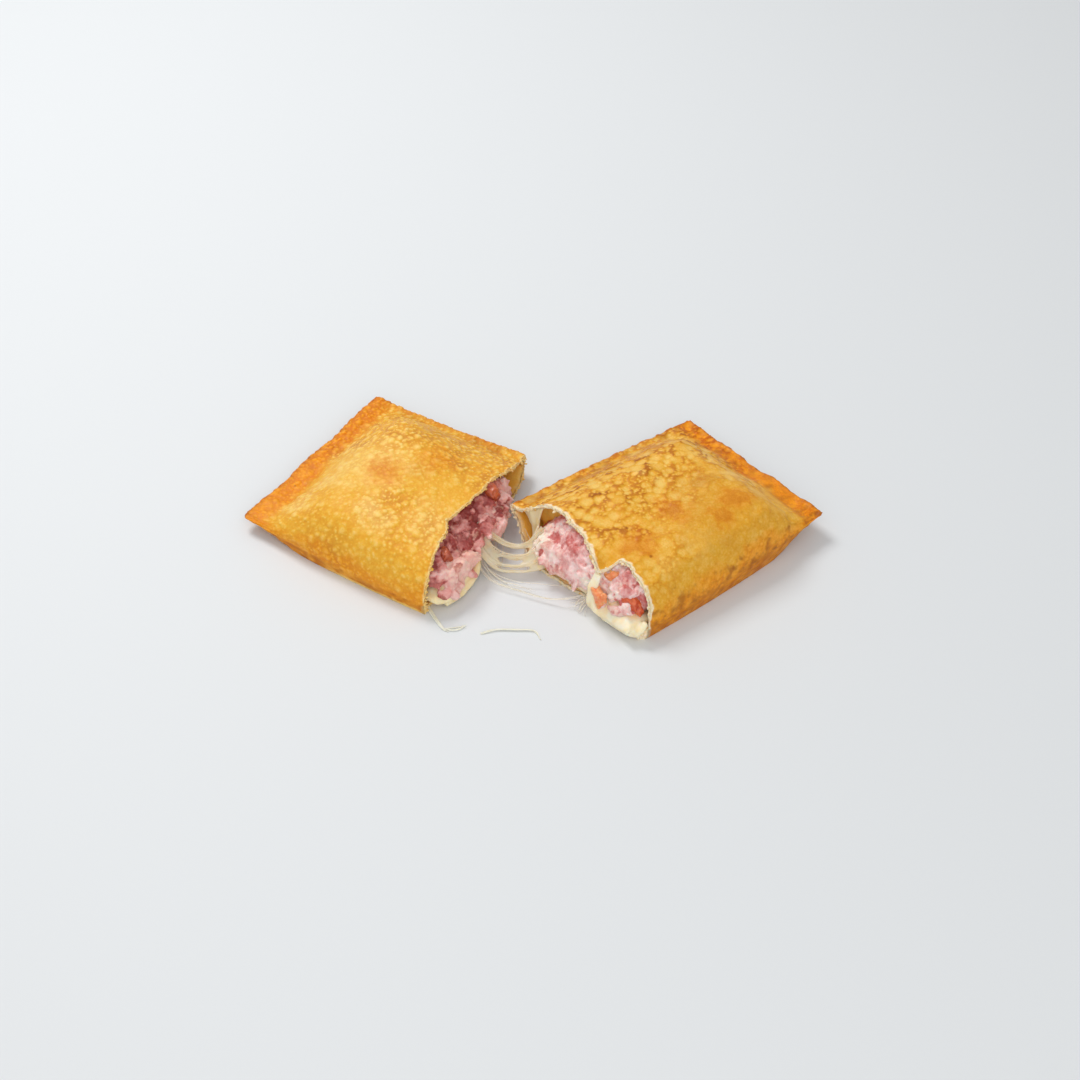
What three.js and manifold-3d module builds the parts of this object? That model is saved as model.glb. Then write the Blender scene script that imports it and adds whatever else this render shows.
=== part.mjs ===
// A fried pastel: a rectangular turnover of thin crisp dough, folded along its front
// edge, crimped flat along its ends and back, and filled with shredded ham and cheese.
// It is torn across the middle. Both halves lie flat with their mouths together, and
// strands of melted cheese still link them.
// Millimetres, +Z up, the underside at Z = 0, and X along the pair from left to right.
import * as THREE from "three";
import { mergeVertices } from "three/addons/utils/BufferGeometryUtils.js";
import Module from "manifold-3d";

const wasm = await Module();
wasm.setup();

// Driving dimensions
const DOUGH = 1.7; // thickness of the fried dough
const RIM = 1.3; // half the thickness of the crimped rim
const GAP = 0.3; // least clearance between neighbouring pieces
const CHEESE_CLEARANCE = 0.45; // clearance that the cheese bed keeps from the dough
const HAM_CLEARANCE = 0.9; // clearance that the ham keeps from the dough and the cheese
const FOLD_RADIUS = 9; // rounding of the folded front edge
const SLIT = 0.12; // least half height of the cavity, and least height of a filling
const SEAM_INSET = 1.4; // how far the filling stays back from the cavity's own seam
const HAM_INSET = 3.5; // how far the ham stays back from the cavity's seam
const HAM_FALL = 7; // how far the ham's top falls away outside the tear
const HAM_BULGE = 2.5; // swell of the ham's face
const CHEESE_BED = 2.4; // thickness of the melted cheese under the ham
const PLAN_MIDDLE = new THREE.Vector2(-3.2, 13.97); // middle of the pair's outline

// Grid sizes
const CRUST = { rows: 25, columns: 23, innerRows: 6 };
const CHEESE_GRID = { rows: 6, columns: 12, levels: 3 };
const HAM_GRID = { rows: 6, columns: 10, levels: 4 };
const TUBE_SIDES = 6;

// One torn half. Each corner is the middle of the dough there, in the order sealed end
// at the front, sealed end at the back, mouth at the back, mouth at the front. u runs
// along the half from the sealed end, 0, to the mouth, 1, and v across it from the
// folded front, 0, to the crimped back, 1. A tear list holds the set-back of the torn
// edge from the straight mouth line, evenly spaced from the front to the back.
const LEFT = {
  name: "left",
  corners: [
    [-131.7, 8.5, 6],
    [-76.7, 89.5, 8],
    [-6.4, 45.8, 10],
    [-49.1, -47.5, 5.5],
  ],
  length: 92,
  width: 98,
  puff: 20,
  belly: 16,
  mouthDrop: 0.12,
  endRim: 11,
  endSlope: 34,
  backRim: 5,
  backSlope: 28,
  mouthBackSlope: 52,
  frontSlope: 34,
  bow: { end: -1, front: 1.5, back: -1.5 },
  wave: { plan: 0.3, lift: 0.4, turns: 2.6, phase: 0.4 },
  tearTop: [0.5, 1.8, 2.3, 3.8, 1.2, 0, 0, 0, 0],
  tearBottom: [0.5, 0, -0.5, -1, -2, -2.5, -3, -4, 0],
  ragged: { depth: 0.7, turns: 11, phase: 0.8 },
  tongue: { at: 0.5, width: 0.08, reach: 0, droop: 0 },
  blisters: [
    { at: [0.42, 0.62], radius: 9, height: 0.9 },
    { at: [0.62, 0.35], radius: 8, height: 0.8 },
    { at: [0.35, 0.3], radius: 8, height: 0.7 },
  ],
  hamReach: [0, 2.5, 4, 5.5, 7.5, 7, 3, -12, -22],
  hamAir: [1, 1, 1, 1.2, 1.5, 1.5, 2, 2, 1],
  cheeseReach: [2, 5, 5.5, 2.5, 3, 3, 3, -10, -20],
  cheeseBulge: [0.5, 4.5, 4.5, 2, 0.5, 0.5, 0.5, 0.5, 0],
  cheeseLip: [4, 6, 6, 2, 0, 0, 0, 0, 0],
};
const RIGHT = {
  name: "right",
  corners: [
    [125.3, 5.7, 11],
    [69.5, 74, 7],
    [-13.2, 7.6, 14],
    [43.5, -63.3, 6],
  ],
  length: 106,
  width: 90,
  puff: 19,
  belly: 16,
  mouthDrop: 0.08,
  endRim: 10,
  endSlope: 26,
  backRim: 5,
  backSlope: 28,
  mouthBackSlope: 30,
  frontSlope: 34,
  bow: { end: -1, front: 1.5, back: 0.5 },
  wave: { plan: 0.35, lift: 0.6, turns: 3.1, phase: 1.4 },
  tearTop: [3, 6.2, 7.5, -1.2, 3.2, 3.8, 3.2, 1, 0],
  tearBottom: [3, 0.5, -0.5, -1.5, -4.5, -6.5, -6, -3, 0],
  ragged: { depth: 0.8, turns: 12, phase: 2.1 },
  tongue: { at: 0.29, width: 0.04, reach: 6, droop: 4 },
  blisters: [
    { at: [0.28, 0.72], radius: 6, height: 1.6 },
    { at: [0.2, 0.5], radius: 5, height: 1.2 },
    { at: [0.38, 0.36], radius: 7, height: 1.1 },
    { at: [0.55, 0.62], radius: 6, height: 1.2 },
    { at: [0.74, 0.52], radius: 6, height: 1.4 },
    { at: [0.5, 0.2], radius: 9, height: 0.8 },
  ],
  hamReach: [-4, -2, -1, 0.5, 2.5, 4.5, 2, -14, -22],
  hamAir: [1, 1, 1.5, 1.5, 1.5, 4, 9, 13, 8],
  cheeseReach: [1, 1.5, 2.5, 1, 3, 4.5, 4, -12, -20],
  cheeseBulge: [1, 4.2, 4.8, 2, 0.5, 0.5, 0.5, 0.5, 0],
  cheeseLip: [5, 6, 6, 2, 0, 0, 0, 0, 0],
};

// Tomato in the mouths: where each piece sits across the half, its height, how far it
// stands out of the mouth line, its three radii and its turn.
const TOMATOES = [
  { half: LEFT, at: 0.2, height: 17, out: 0.5, radii: [2.6, 3.4, 4.6], turn: 0.4 },
  { half: LEFT, at: 0.63, height: 19, out: 1.5, radii: [3.4, 4.6, 4], turn: 0.9 },
  { half: RIGHT, at: 0.49, height: 20.5, out: -4.5, radii: [2.4, 2.6, 3], turn: 0.2 },
  { half: RIGHT, at: 0.3, height: 12, out: 2.5, radii: [2.4, 2.8, 4.6], turn: 0.5 },
  { half: RIGHT, at: 0.26, height: 19.5, out: -3.5, radii: [2.6, 3.6, 2.8], turn: 1.2 },
  { half: RIGHT, at: 0.12, height: 12, out: -2.5, radii: [2.8, 5.4, 4.4], turn: 0.8 },
];

// Melted-cheese strands from the left filling to the right one: the points that each
// passes, its radius at the ends and in the middle, and how much taller than wide it is.
const STRANDS = [
  {
    path: [[-28, -1, 18], [-21.8, -8.3, 12.5], [-13.9, -12.8, 9], [-6.1, -13.4, 9.5], [2, -9, 14]],
    ends: 2.4,
    waist: 1.3,
    flat: 1.8,
  },
  {
    path: [[-28, -8, 14], [-20.5, -14.9, 8.5], [-13, -18.3, 7], [-5.2, -18.1, 8], [3, -14.5, 12]],
    ends: 1.8,
    waist: 0.9,
    flat: 1.5,
  },
  {
    path: [[-29, -12, 12], [-20.9, -19.4, 6.2], [-13, -21.9, 5], [-4.3, -21.7, 6], [4.5, -18.5, 10]],
    ends: 1.8,
    waist: 0.9,
    flat: 1.6,
  },
  {
    path: [[-29, -14, 10], [-19.5, -22.3, 4.2], [-10.8, -24.2, 3.6], [-2.2, -23.8, 4.4], [6, -22, 7.5]],
    ends: 1.5,
    waist: 0.8,
    flat: 1.6,
  },
  {
    path: [[-28, -13, 9], [-26, -22, 5], [-20.5, -29.5, 3], [-8.6, -35, 2.2], [6, -40.5, 2.6], [21, -42.5, 7]],
    ends: 1.2,
    waist: 0.6,
    flat: 1.2,
  },
];
const STRAND_STEPS = 9;
// A thin stalk of cheese from the right half's upper sheet down to the strands.
const STALK = {
  hungFrom: [0.98, 0.84],
  path: [[-3.9, -6.5, 15], [-1.5, -13, 10]],
  ends: 1.6,
  waist: 1,
  flat: 1.6,
};
// The patches of cheese that the strands leave from: centre, radii, and turn in plan.
const PATCHES = [
  { centre: [-27, -9.5, 12], radii: [2.4, 7, 5], turn: -0.43 },
  { centre: [3, -17, 10], radii: [2.4, 7, 4.5], turn: 0.67 },
];
// Shreds of ham: length, width, and thickness as a share of the width.
const SHRED = { count: 24, length: [7, 12], width: [3.2, 5.4], thin: 0.6 };

// Finishes
const FINISHES = {
  crust: { color: 0xe0a043, roughness: 0.55 },
  ham: { color: 0xcf9a96, roughness: 0.5 },
  cheese: { color: 0xf0dfb4, roughness: 0.4 },
  tomato: { color: 0xc65b2c, roughness: 0.35 },
};

const clamp01 = (x) => Math.min(1, Math.max(0, x));
const mix = (a, b, share) => a + (b - a) * share;
// Quarter of an ellipse: it leaves 0 upright and reaches 1 level.
const dome = (x) => Math.sqrt(1 - (1 - clamp01(x)) ** 2);
// Quarter of a sine: it leaves 0 on a slope and reaches 1 level.
const swell = (x) => Math.sin((Math.PI / 2) * clamp01(x));
const ease = (x) => THREE.MathUtils.smoothstep(x, 0, 1);
const bell = (x) => Math.exp(-x * x);

// A repeatable stream of numbers from 0 to 1.
function randomStream(seed) {
  let state = seed;
  return () => {
    state = (state * 1664525 + 1013904223) % 4294967296;
    return state / 4294967296;
  };
}

// The value at x, from 0 to 1, of a smooth curve through evenly spaced values.
function along(values, x) {
  const place = clamp01(x) * (values.length - 1);
  const k = Math.min(Math.floor(place), values.length - 2);
  return mix(values[k], values[k + 1], ease(place - k));
}

// Offset of the torn edge from the straight mouth line, positive towards the sealed end.
function tearSetBack(half, list, v) {
  const { depth, turns, phase } = half.ragged;
  const teeth = Math.sin(turns * Math.PI * v + phase) + 0.6 * Math.sin(2.3 * turns * Math.PI * v);
  const tip = half.tongue.reach * bell((v - half.tongue.at) / half.tongue.width);
  const onTop = list === half.tearTop ? tip : 0;
  return along(list, v) + depth * teeth * swell(8 * v) * swell(8 * (1 - v)) - onTop;
}

const tearAt = (half, list, v) => 1 - tearSetBack(half, list, v) / half.length;

// Unit vectors in plan along the half towards its mouth, and across it to the back.
function directions(half) {
  const [a, b, c, d] = half.corners.map((p) => new THREE.Vector2(p[0], p[1]));
  return {
    mouthward: c.clone().add(d).sub(a).sub(b).normalize(),
    backward: b.clone().add(c).sub(a).sub(d).normalize(),
  };
}

// The surface midway between the two sheets of dough.
function middle(half, u, v) {
  const [a, b, c, d] = half.corners.map((p) => new THREE.Vector3(...p));
  const point = new THREE.Vector3()
    .addScaledVector(a, (1 - u) * (1 - v))
    .addScaledVector(b, (1 - u) * v)
    .addScaledVector(c, u * v)
    .addScaledVector(d, u * (1 - v));
  const { mouthward, backward } = directions(half);
  const ripple = Math.sin(2 * Math.PI * half.wave.turns * v + half.wave.phase);
  const nearEnd = (1 - clamp01(u)) ** 2;
  const inSpan = 4 * v * (1 - v);
  const endShift = nearEnd * inSpan * (half.bow.end + half.wave.plan * ripple);
  const span = 4 * clamp01(u) * (1 - clamp01(u));
  const sideShift = span * (half.bow.back * v ** 2 - half.bow.front * (1 - v) ** 2);
  point.x += sideShift * backward.x - endShift * mouthward.x;
  point.y += sideShift * backward.y - endShift * mouthward.y;
  point.z += half.wave.lift * ripple * nearEnd * inSpan;
  return point;
}

// Height of the blisters on the upper sheet.
function blisterHeight(half, u, v) {
  return half.blisters.reduce((sum, { at, radius, height }) => {
    const away = Math.hypot((u - at[0]) * half.length, (v - at[1]) * half.width);
    return sum + height * bell(away / radius);
  }, 0);
}

// How far the two sheets have parted, from 0 at the crimped rims to 1 well inside them.
function parting(half, u, v) {
  const fromEnd = u * half.length - half.endRim;
  const fromBack = (1 - v) * half.width - half.backRim;
  const backSlope = mix(half.backSlope, half.mouthBackSlope, ease((u - 0.35) / 0.65));
  return swell(fromEnd / half.endSlope) * swell(fromBack / backSlope);
}

// Rise of the upper sheet over the middle surface, without its rounded edges.
function upperRise(half, u, v) {
  const shape = parting(half, u, v) * swell((v * half.width) / half.frontSlope + 0.35);
  const drop = 1 - half.mouthDrop * ease((u - 0.6) / 0.4);
  return RIM + half.puff * shape * drop + blisterHeight(half, u, v) * shape;
}

// Drop of the lower sheet under the middle surface, without its rounded edges.
const lowerDrop = (half, u, v) => RIM + half.belly * parting(half, u, v);

// Sag of the upper sheet's tongue, which hangs into the mouth.
function tongueDroop(half, u, v) {
  const { at, width, droop } = half.tongue;
  const nearTear = ease(1 + ((u - 1) * half.length) / 8);
  return droop * nearTear * bell((v - at) / width);
}

// The rounding of the outer sheets at the folded front, the back and the sealed end.
const outerRounding = (half, u, v) =>
  dome((v * half.width) / FOLD_RADIUS) *
  dome(((1 - v) * half.width) / RIM) *
  dome((u * half.length) / RIM);

function outerTop(half, u, v) {
  const point = middle(half, u, v);
  point.z += upperRise(half, u, v) * outerRounding(half, u, v) - tongueDroop(half, u, v);
  return point;
}

function outerBottom(half, u, v) {
  const point = middle(half, u, v);
  point.z = Math.max(point.z - lowerDrop(half, u, v) * outerRounding(half, u, v), 0);
  return point;
}

// Where the cavity starts: its seam in u, and its seams at the front and the back in v.
const cavity = (half) => ({
  end: (half.endRim - 1) / half.length,
  front: DOUGH / half.width,
  back: 1 - (half.backRim - 1) / half.width,
});

// The rounding of the cavity at its seams, with an inset for what fills it.
function innerRounding(half, u, v, inset = 0) {
  const { end, front, back } = cavity(half);
  return (
    dome(((v - front) * half.width - inset) / (FOLD_RADIUS - DOUGH)) *
    dome(((back - v) * half.width - inset) / 2) *
    dome(((u - end) * half.length - inset) / 2)
  );
}

// The inner faces of the dough, or faces a margin off them inside the cavity.
function innerTop(half, u, v, margin = 0) {
  const point = middle(half, u, v);
  const height = Math.max(upperRise(half, u, v) - DOUGH - margin, SLIT);
  point.z += height * innerRounding(half, u, v, margin) - tongueDroop(half, u, v);
  return point;
}

function innerBottom(half, u, v, margin = 0) {
  const point = middle(half, u, v);
  const floor = Math.max(point.z - lowerDrop(half, u, v), 0) + DOUGH + margin;
  const low = Math.min(floor, point.z - SLIT);
  point.z = mix(point.z, low, innerRounding(half, u, v, margin));
  return point;
}

// Spread even steps so that they crowd towards both ends, the start or the end.
const crowdBothEnds = (t) => 0.25 * t + 0.375 * (1 - Math.cos(Math.PI * t));
const crowdStart = (t) => t * (0.4 + 0.6 * t);
const crowdEnd = (t) => 1 - (1 - t) ** 1.8;

// Points and triangles of one closed surface.
class Skin {
  constructor() {
    this.points = [];
    this.faces = [];
  }

  add(point) {
    this.points.push(point.x, point.y, point.z);
    return this.points.length / 3 - 1;
  }

  triangle(a, b, c) {
    if (a !== b && b !== c && c !== a) this.faces.push(a, b, c);
  }

  quad(a, b, c, d) {
    this.triangle(a, b, c);
    this.triangle(a, c, d);
  }

  // Volume of the surface, negative where its faces point inwards.
  volume() {
    const corner = (k) => new THREE.Vector3().fromArray(this.points, 3 * k);
    let sum = 0;
    for (let k = 0; k < this.faces.length; k += 3) {
      const [a, b, c] = [0, 1, 2].map((n) => corner(this.faces[k + n]));
      sum += a.dot(b.cross(c)) / 6;
    }
    return sum;
  }

  geometry() {
    if (this.volume() < 0) this.faces.reverse();
    const geometry = new THREE.BufferGeometry();
    geometry.setAttribute("position", new THREE.Float32BufferAttribute(this.points, 3));
    geometry.setIndex(this.faces);
    return geometry;
  }
}

// Two sheets joined along their end and both sides, and open at the mouth. It gives the
// loop of the mouth's points, over the upper sheet and back under the lower one.
function addPocket(skin, rows, columns, upperPoint, lowerPoint, inwards = false) {
  const upper = [];
  const lower = [];
  for (let i = 0; i <= rows; i++) {
    upper.push([]);
    lower.push([]);
    for (let j = 0; j <= columns; j++) {
      const onSeam = i === 0 || j === 0 || j === columns;
      upper[i].push(skin.add(upperPoint(i / rows, j / columns)));
      lower[i].push(onSeam ? upper[i][j] : skin.add(lowerPoint(i / rows, j / columns)));
    }
  }
  const [facingUp, facingDown] = inwards ? [lower, upper] : [upper, lower];
  for (let i = 0; i < rows; i++) {
    for (let j = 0; j < columns; j++) {
      skin.quad(facingUp[i][j], facingUp[i + 1][j], facingUp[i + 1][j + 1], facingUp[i][j + 1]);
      skin.quad(facingDown[i][j], facingDown[i][j + 1], facingDown[i + 1][j + 1], facingDown[i + 1][j]);
    }
  }
  return { upper: upper[rows], lower: lower[rows] };
}

// The dough of one half: an outer and an inner pocket joined along the torn edge. With a
// margin its inner face and its torn edge stand out by that much, to cut what it holds.
function crustGeometry(half, margin = 0) {
  const skin = new Skin();
  const { rows, columns, innerRows } = CRUST;
  const tear = (list, v) => tearAt(half, list, v) + margin / half.length;
  const outer = (surface, list) => (s, t) => {
    const v = crowdBothEnds(t);
    return surface(half, crowdStart(s) * tear(list, v), v);
  };
  const { end, front, back } = cavity(half);
  const inner = (surface, list) => (s, t) => {
    const v = mix(front, back, crowdBothEnds(t));
    return surface(half, mix(end, tear(list, v), s), v, margin);
  };
  const outside = addPocket(
    skin, rows, columns, outer(outerTop, half.tearTop), outer(outerBottom, half.tearBottom),
  );
  const inside = addPocket(
    skin, innerRows, columns, inner(innerTop, half.tearTop), inner(innerBottom, half.tearBottom), true,
  );
  for (let j = 0; j < columns; j++) {
    skin.quad(outside.upper[j + 1], outside.upper[j], inside.upper[j], inside.upper[j + 1]);
    skin.quad(outside.lower[j], outside.lower[j + 1], inside.lower[j + 1], inside.lower[j]);
  }
  return skin.geometry();
}

// A filling: two sheets closed by a rounded face that swells out of the mouth.
// layer gives low and high, the heights of its sheets, its inset from the cavity's seam,
// reach, how far it passes the mouth line, and bulge and sag of its face.
function fillingGeometry(half, layer) {
  const skin = new Skin();
  const { rows, columns, levels } = layer.grid;
  const { mouthward } = directions(half);
  const { end, front, back } = cavity(half);
  const first = end + layer.inset / half.length;
  const lowV = front + layer.inset / half.width;
  const highV = back - layer.inset / half.width;
  const place = (s, t) => {
    const v = mix(lowV, highV, crowdBothEnds(t));
    return { u: mix(first, 1 + layer.reach(v) / half.length, crowdEnd(s)), v };
  };
  const sheet = (isTop) => (s, t) => {
    const { u, v } = place(s, t);
    const low = layer.low(u, v);
    const high = Math.max(layer.high(u, v), low + SLIT);
    const seam = mix(low, high, 0.4);
    const point = middle(half, u, v);
    point.z = mix(seam, isTop ? high : low, innerRounding(half, u, v, layer.inset));
    return point;
  };
  const mouth = addPocket(skin, rows, columns, sheet(true), sheet(false));
  const position = (k) => new THREE.Vector3().fromArray(skin.points, 3 * k);
  const face = mouth.upper.map((top, j) => {
    const low = mouth.lower[j];
    const { v } = place(1, j / columns);
    const ladder = [low];
    for (let k = 1; k < levels; k++) {
      if (low === top) {
        ladder.push(top);
        continue;
      }
      const share = k / levels;
      const point = position(low).lerp(position(top), share);
      const out = layer.bulge(v) * Math.sin(Math.PI * share ** 0.8);
      point.x += out * mouthward.x;
      point.y += out * mouthward.y;
      ladder.push(skin.add(point));
    }
    return [...ladder, top];
  });
  for (let j = 0; j < columns; j++) {
    for (let k = 0; k < levels; k++) {
      skin.quad(face[j][k], face[j + 1][k], face[j + 1][k + 1], face[j][k + 1]);
    }
  }
  return skin.geometry();
}

// Height of the top of the cheese bed, which is thicker at the mouth's lip.
function bedTop(half, u, v) {
  const lip = along(half.cheeseLip, v) * ease((u - 0.8) / 0.2);
  return innerBottom(half, u, v, CHEESE_CLEARANCE).z + CHEESE_BED + lip;
}

function cheeseLayer(half, margin = 0) {
  return {
    grid: CHEESE_GRID,
    inset: SEAM_INSET,
    low: (u, v) => innerBottom(half, u, v, CHEESE_CLEARANCE).z - margin,
    high: (u, v) => Math.min(bedTop(half, u, v), innerTop(half, u, v, CHEESE_CLEARANCE).z) + margin,
    reach: (v) => along(half.cheeseReach, v) + margin,
    bulge: (v) => along(half.cheeseBulge, v) + margin,
  };
}

// Height of the ham's top, which leaves air under the dough near the mouth and falls
// away outside it.
function hamTop(half, u, v) {
  const air = along(half.hamAir, v) * ease((u - 0.5) / 0.5);
  const pastTear = (u - tearAt(half, half.tearTop, v)) * half.length + 3;
  return innerTop(half, u, v, HAM_CLEARANCE).z - air - HAM_FALL * ease(pastTear / 10);
}

function hamLayer(half) {
  return {
    grid: HAM_GRID,
    inset: HAM_INSET,
    low: (u, v) => bedTop(half, u, v) + HAM_CLEARANCE,
    high: (u, v) => hamTop(half, u, v),
    reach: (v) => along(half.hamReach, v),
    bulge: () => HAM_BULGE,
  };
}

// The room that the ham may take: between the cheese bed and the upper sheet, and on
// past the mouth.
function hamRoom(half) {
  return {
    ...hamLayer(half),
    high: (u, v) => innerTop(half, u, v, HAM_CLEARANCE).z,
    reach: () => 20,
    bulge: () => 0,
  };
}

// A solid for joining and cutting, from a closed three.js geometry.
function solid(geometry) {
  const bare = geometry.clone();
  bare.deleteAttribute("normal");
  bare.deleteAttribute("uv");
  const merged = mergeVertices(bare, 1e-4);
  return new wasm.Manifold(
    new wasm.Mesh({
      numProp: 3,
      vertProperties: merged.attributes.position.array,
      triVerts: new Uint32Array(merged.index.array),
    }),
  );
}

// The geometry of a solid's largest body.
function geometryOf(made) {
  const bodies = made.decompose().sort((a, b) => b.volume() - a.volume());
  const mesh = bodies[0].getMesh();
  const geometry = new THREE.BufferGeometry();
  geometry.setAttribute("position", new THREE.Float32BufferAttribute(mesh.vertProperties, 3));
  geometry.setIndex(new THREE.BufferAttribute(mesh.triVerts, 1));
  return geometry;
}

// A point on a half's mouth: at v across, at a height, and out past the mouth line.
function atMouth(half, v, height, out) {
  const point = middle(half, 1, v);
  const { mouthward } = directions(half);
  return new THREE.Vector3(point.x + out * mouthward.x, point.y + out * mouthward.y, height);
}

// Shreds of ham lying over a half's mouth, each a flat lump with few sides.
function shreds(half, seed) {
  const random = randomStream(seed);
  const list = [];
  for (let n = 0; n < SHRED.count; n++) {
    const v = mix(0.07, 0.8, (n + random()) / SHRED.count);
    const share = random();
    const nearTear = -tearSetBack(half, half.tearTop, v) - 1;
    const out = mix(nearTear, along(half.hamReach, v) + HAM_BULGE, share ** 0.7);
    const high = hamTop(half, 1 - 3 / half.length, v) - 1;
    const height = mix(high, bedTop(half, 1, v) + 3, share);
    const length = mix(...SHRED.length, random());
    const width = mix(...SHRED.width, random());
    const shred = new THREE.IcosahedronGeometry(1, 0);
    shred.scale(length / 2, width / 2, (SHRED.thin * width) / 2);
    shred.rotateX(2 * Math.PI * random());
    shred.rotateY(Math.PI * (random() - 0.5));
    shred.rotateZ(2 * Math.PI * random());
    const spot = atMouth(half, v, height, out);
    list.push(shred.translate(spot.x, spot.y, spot.z));
  }
  return list;
}

// A lump of tomato, grown by a margin for the hollow that holds it.
function tomatoGeometry({ half, at, height, out, radii, turn }, margin = 0) {
  const lump = new THREE.IcosahedronGeometry(1, 1);
  lump.scale(...radii.map((r) => r + margin));
  lump.rotateZ(turn);
  lump.rotateX(turn / 2);
  const spot = atMouth(half, at, height, out);
  return lump.translate(spot.x, spot.y, spot.z);
}

// A strand of cheese, thin in the middle, grown by a margin for its sockets.
function strandGeometry({ path, ends, waist, flat }, margin = 0) {
  const skin = new Skin();
  const curve = new THREE.CatmullRomCurve3(path.map((p) => new THREE.Vector3(...p)));
  const frames = curve.computeFrenetFrames(STRAND_STEPS);
  const rings = [];
  for (let i = 0; i <= STRAND_STEPS; i++) {
    const t = i / STRAND_STEPS;
    const radius = mix(waist, ends, (2 * t - 1) ** 4) + margin;
    const centre = curve.getPointAt(t);
    const across = new THREE.Vector3().crossVectors(frames.tangents[i], new THREE.Vector3(0, 0, 1));
    across.normalize();
    const up = new THREE.Vector3().crossVectors(across, frames.tangents[i]);
    const ring = [];
    for (let k = 0; k < TUBE_SIDES; k++) {
      const angle = (2 * Math.PI * k) / TUBE_SIDES;
      const point = centre.clone();
      point.addScaledVector(across, Math.cos(angle) * radius);
      point.addScaledVector(up, Math.sin(angle) * radius * flat);
      ring.push(skin.add(point));
    }
    rings.push(ring);
  }
  for (let i = 0; i < STRAND_STEPS; i++) {
    for (let k = 0; k < TUBE_SIDES; k++) {
      const next = (k + 1) % TUBE_SIDES;
      skin.quad(rings[i][k], rings[i][next], rings[i + 1][next], rings[i + 1][k]);
    }
  }
  const caps = [rings[0], [...rings[STRAND_STEPS]].reverse()];
  for (const [first, ...rest] of caps) {
    for (let k = 0; k + 1 < rest.length; k++) skin.triangle(first, rest[k + 1], rest[k]);
  }
  return skin.geometry();
}

// The stalk, hung a gap below the right half's upper sheet.
function stalk() {
  const [u, v] = STALK.hungFrom;
  const top = innerTop(RIGHT, u, v);
  top.z -= GAP + STALK.ends;
  return { ...STALK, path: [top.toArray(), ...STALK.path] };
}

// A flat patch of cheese against a filling, grown by a margin.
function patchGeometry({ centre, radii, turn }, margin = 0) {
  const lump = new THREE.IcosahedronGeometry(1, 1);
  lump.scale(...radii.map((r) => r + margin));
  return lump.rotateZ(turn).translate(...centre);
}

// All the linking cheese as one solid, grown by a margin.
function webSolid(margin = 0) {
  const strands = [...STRANDS, stalk()].map((strand) => solid(strandGeometry(strand, margin)));
  const patches = PATCHES.map((patch) => solid(patchGeometry(patch, margin)));
  return joined([...patches, ...strands]);
}

const joined = (solids) => solids.reduce((sum, next) => sum.add(next));
const cut = (body, tools) => tools.reduce((rest, tool) => rest.subtract(tool), body);

const root = new THREE.Group();
const layout = new THREE.Group();
layout.position.set(-PLAN_MIDDLE.x, -PLAN_MIDDLE.y, 0);
root.add(layout);

function place(name, finish, geometry) {
  const material = new THREE.MeshStandardMaterial({ ...FINISHES[finish], metalness: 0 });
  const mesh = new THREE.Mesh(geometry, material);
  mesh.name = name;
  layout.add(mesh);
}

const web = webSolid();
const webHollow = webSolid(GAP);
const doughCutters = [LEFT, RIGHT].map((half) => solid(crustGeometry(half, GAP)));
for (const half of [LEFT, RIGHT]) {
  const { name } = half;
  const bed = solid(fillingGeometry(half, cheeseLayer(half)));
  const bedHollow = solid(fillingGeometry(half, cheeseLayer(half, GAP)));
  const core = solid(fillingGeometry(half, hamLayer(half)));
  const room = solid(fillingGeometry(half, hamRoom(half)));
  const rods = joined(shreds(half, half === LEFT ? 11 : 29).map(solid)).intersect(room);
  const pieces = TOMATOES.filter((piece) => piece.half === half);
  const hollows = pieces.map((piece) => solid(tomatoGeometry(piece, GAP)));
  place(`crust_${name}`, "crust", crustGeometry(half));
  place(`cheese_${name}`, "cheese", geometryOf(cut(bed, [webHollow, ...doughCutters])));
  const hamCutters = [bedHollow, webHollow, ...hollows, ...doughCutters];
  place(`ham_${name}`, "ham", geometryOf(cut(core.add(rods), hamCutters)));
  pieces.forEach((piece, n) => {
    const lump = cut(solid(tomatoGeometry(piece)), [webHollow, bedHollow, ...doughCutters]);
    place(`tomato_${name}_${n + 1}`, "tomato", geometryOf(lump));
  });
}
place("cheese_strands", "cheese", geometryOf(cut(web, doughCutters)));

export default root;
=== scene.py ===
"""A fried pastel torn across its middle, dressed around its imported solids.

Two pillows of thin blistered dough lie with their mouths together. Each holds shredded
ham and tomato over melted cheese, and a web of cheese still links the two. Lengths in
this file are millimetres until a mesh is made from them, which is in metres.
"""

import logging
import math
from dataclasses import dataclass, field, replace
from enum import Enum
from functools import cache, cached_property

import bpy
import numpy as np
from bpy.types import ID, Material, Node, NodeSocket, NodeTree, Object
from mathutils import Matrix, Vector
from mathutils.kdtree import KDTree
from numpy.random import Generator, default_rng


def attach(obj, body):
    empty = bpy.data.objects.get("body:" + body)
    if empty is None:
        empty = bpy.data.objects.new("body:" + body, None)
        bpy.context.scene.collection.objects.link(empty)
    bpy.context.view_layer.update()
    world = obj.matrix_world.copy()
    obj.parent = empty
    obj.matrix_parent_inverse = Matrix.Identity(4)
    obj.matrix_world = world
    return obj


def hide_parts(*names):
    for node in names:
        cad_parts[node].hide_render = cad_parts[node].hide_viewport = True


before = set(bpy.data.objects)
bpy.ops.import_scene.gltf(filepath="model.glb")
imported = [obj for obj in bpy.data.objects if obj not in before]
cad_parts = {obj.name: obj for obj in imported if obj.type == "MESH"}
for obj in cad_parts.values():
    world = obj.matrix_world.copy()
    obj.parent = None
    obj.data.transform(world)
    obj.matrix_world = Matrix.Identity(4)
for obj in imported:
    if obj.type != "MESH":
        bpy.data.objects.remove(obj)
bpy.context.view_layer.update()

LOG = logging.getLogger("pastel")
Array = np.ndarray
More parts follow.
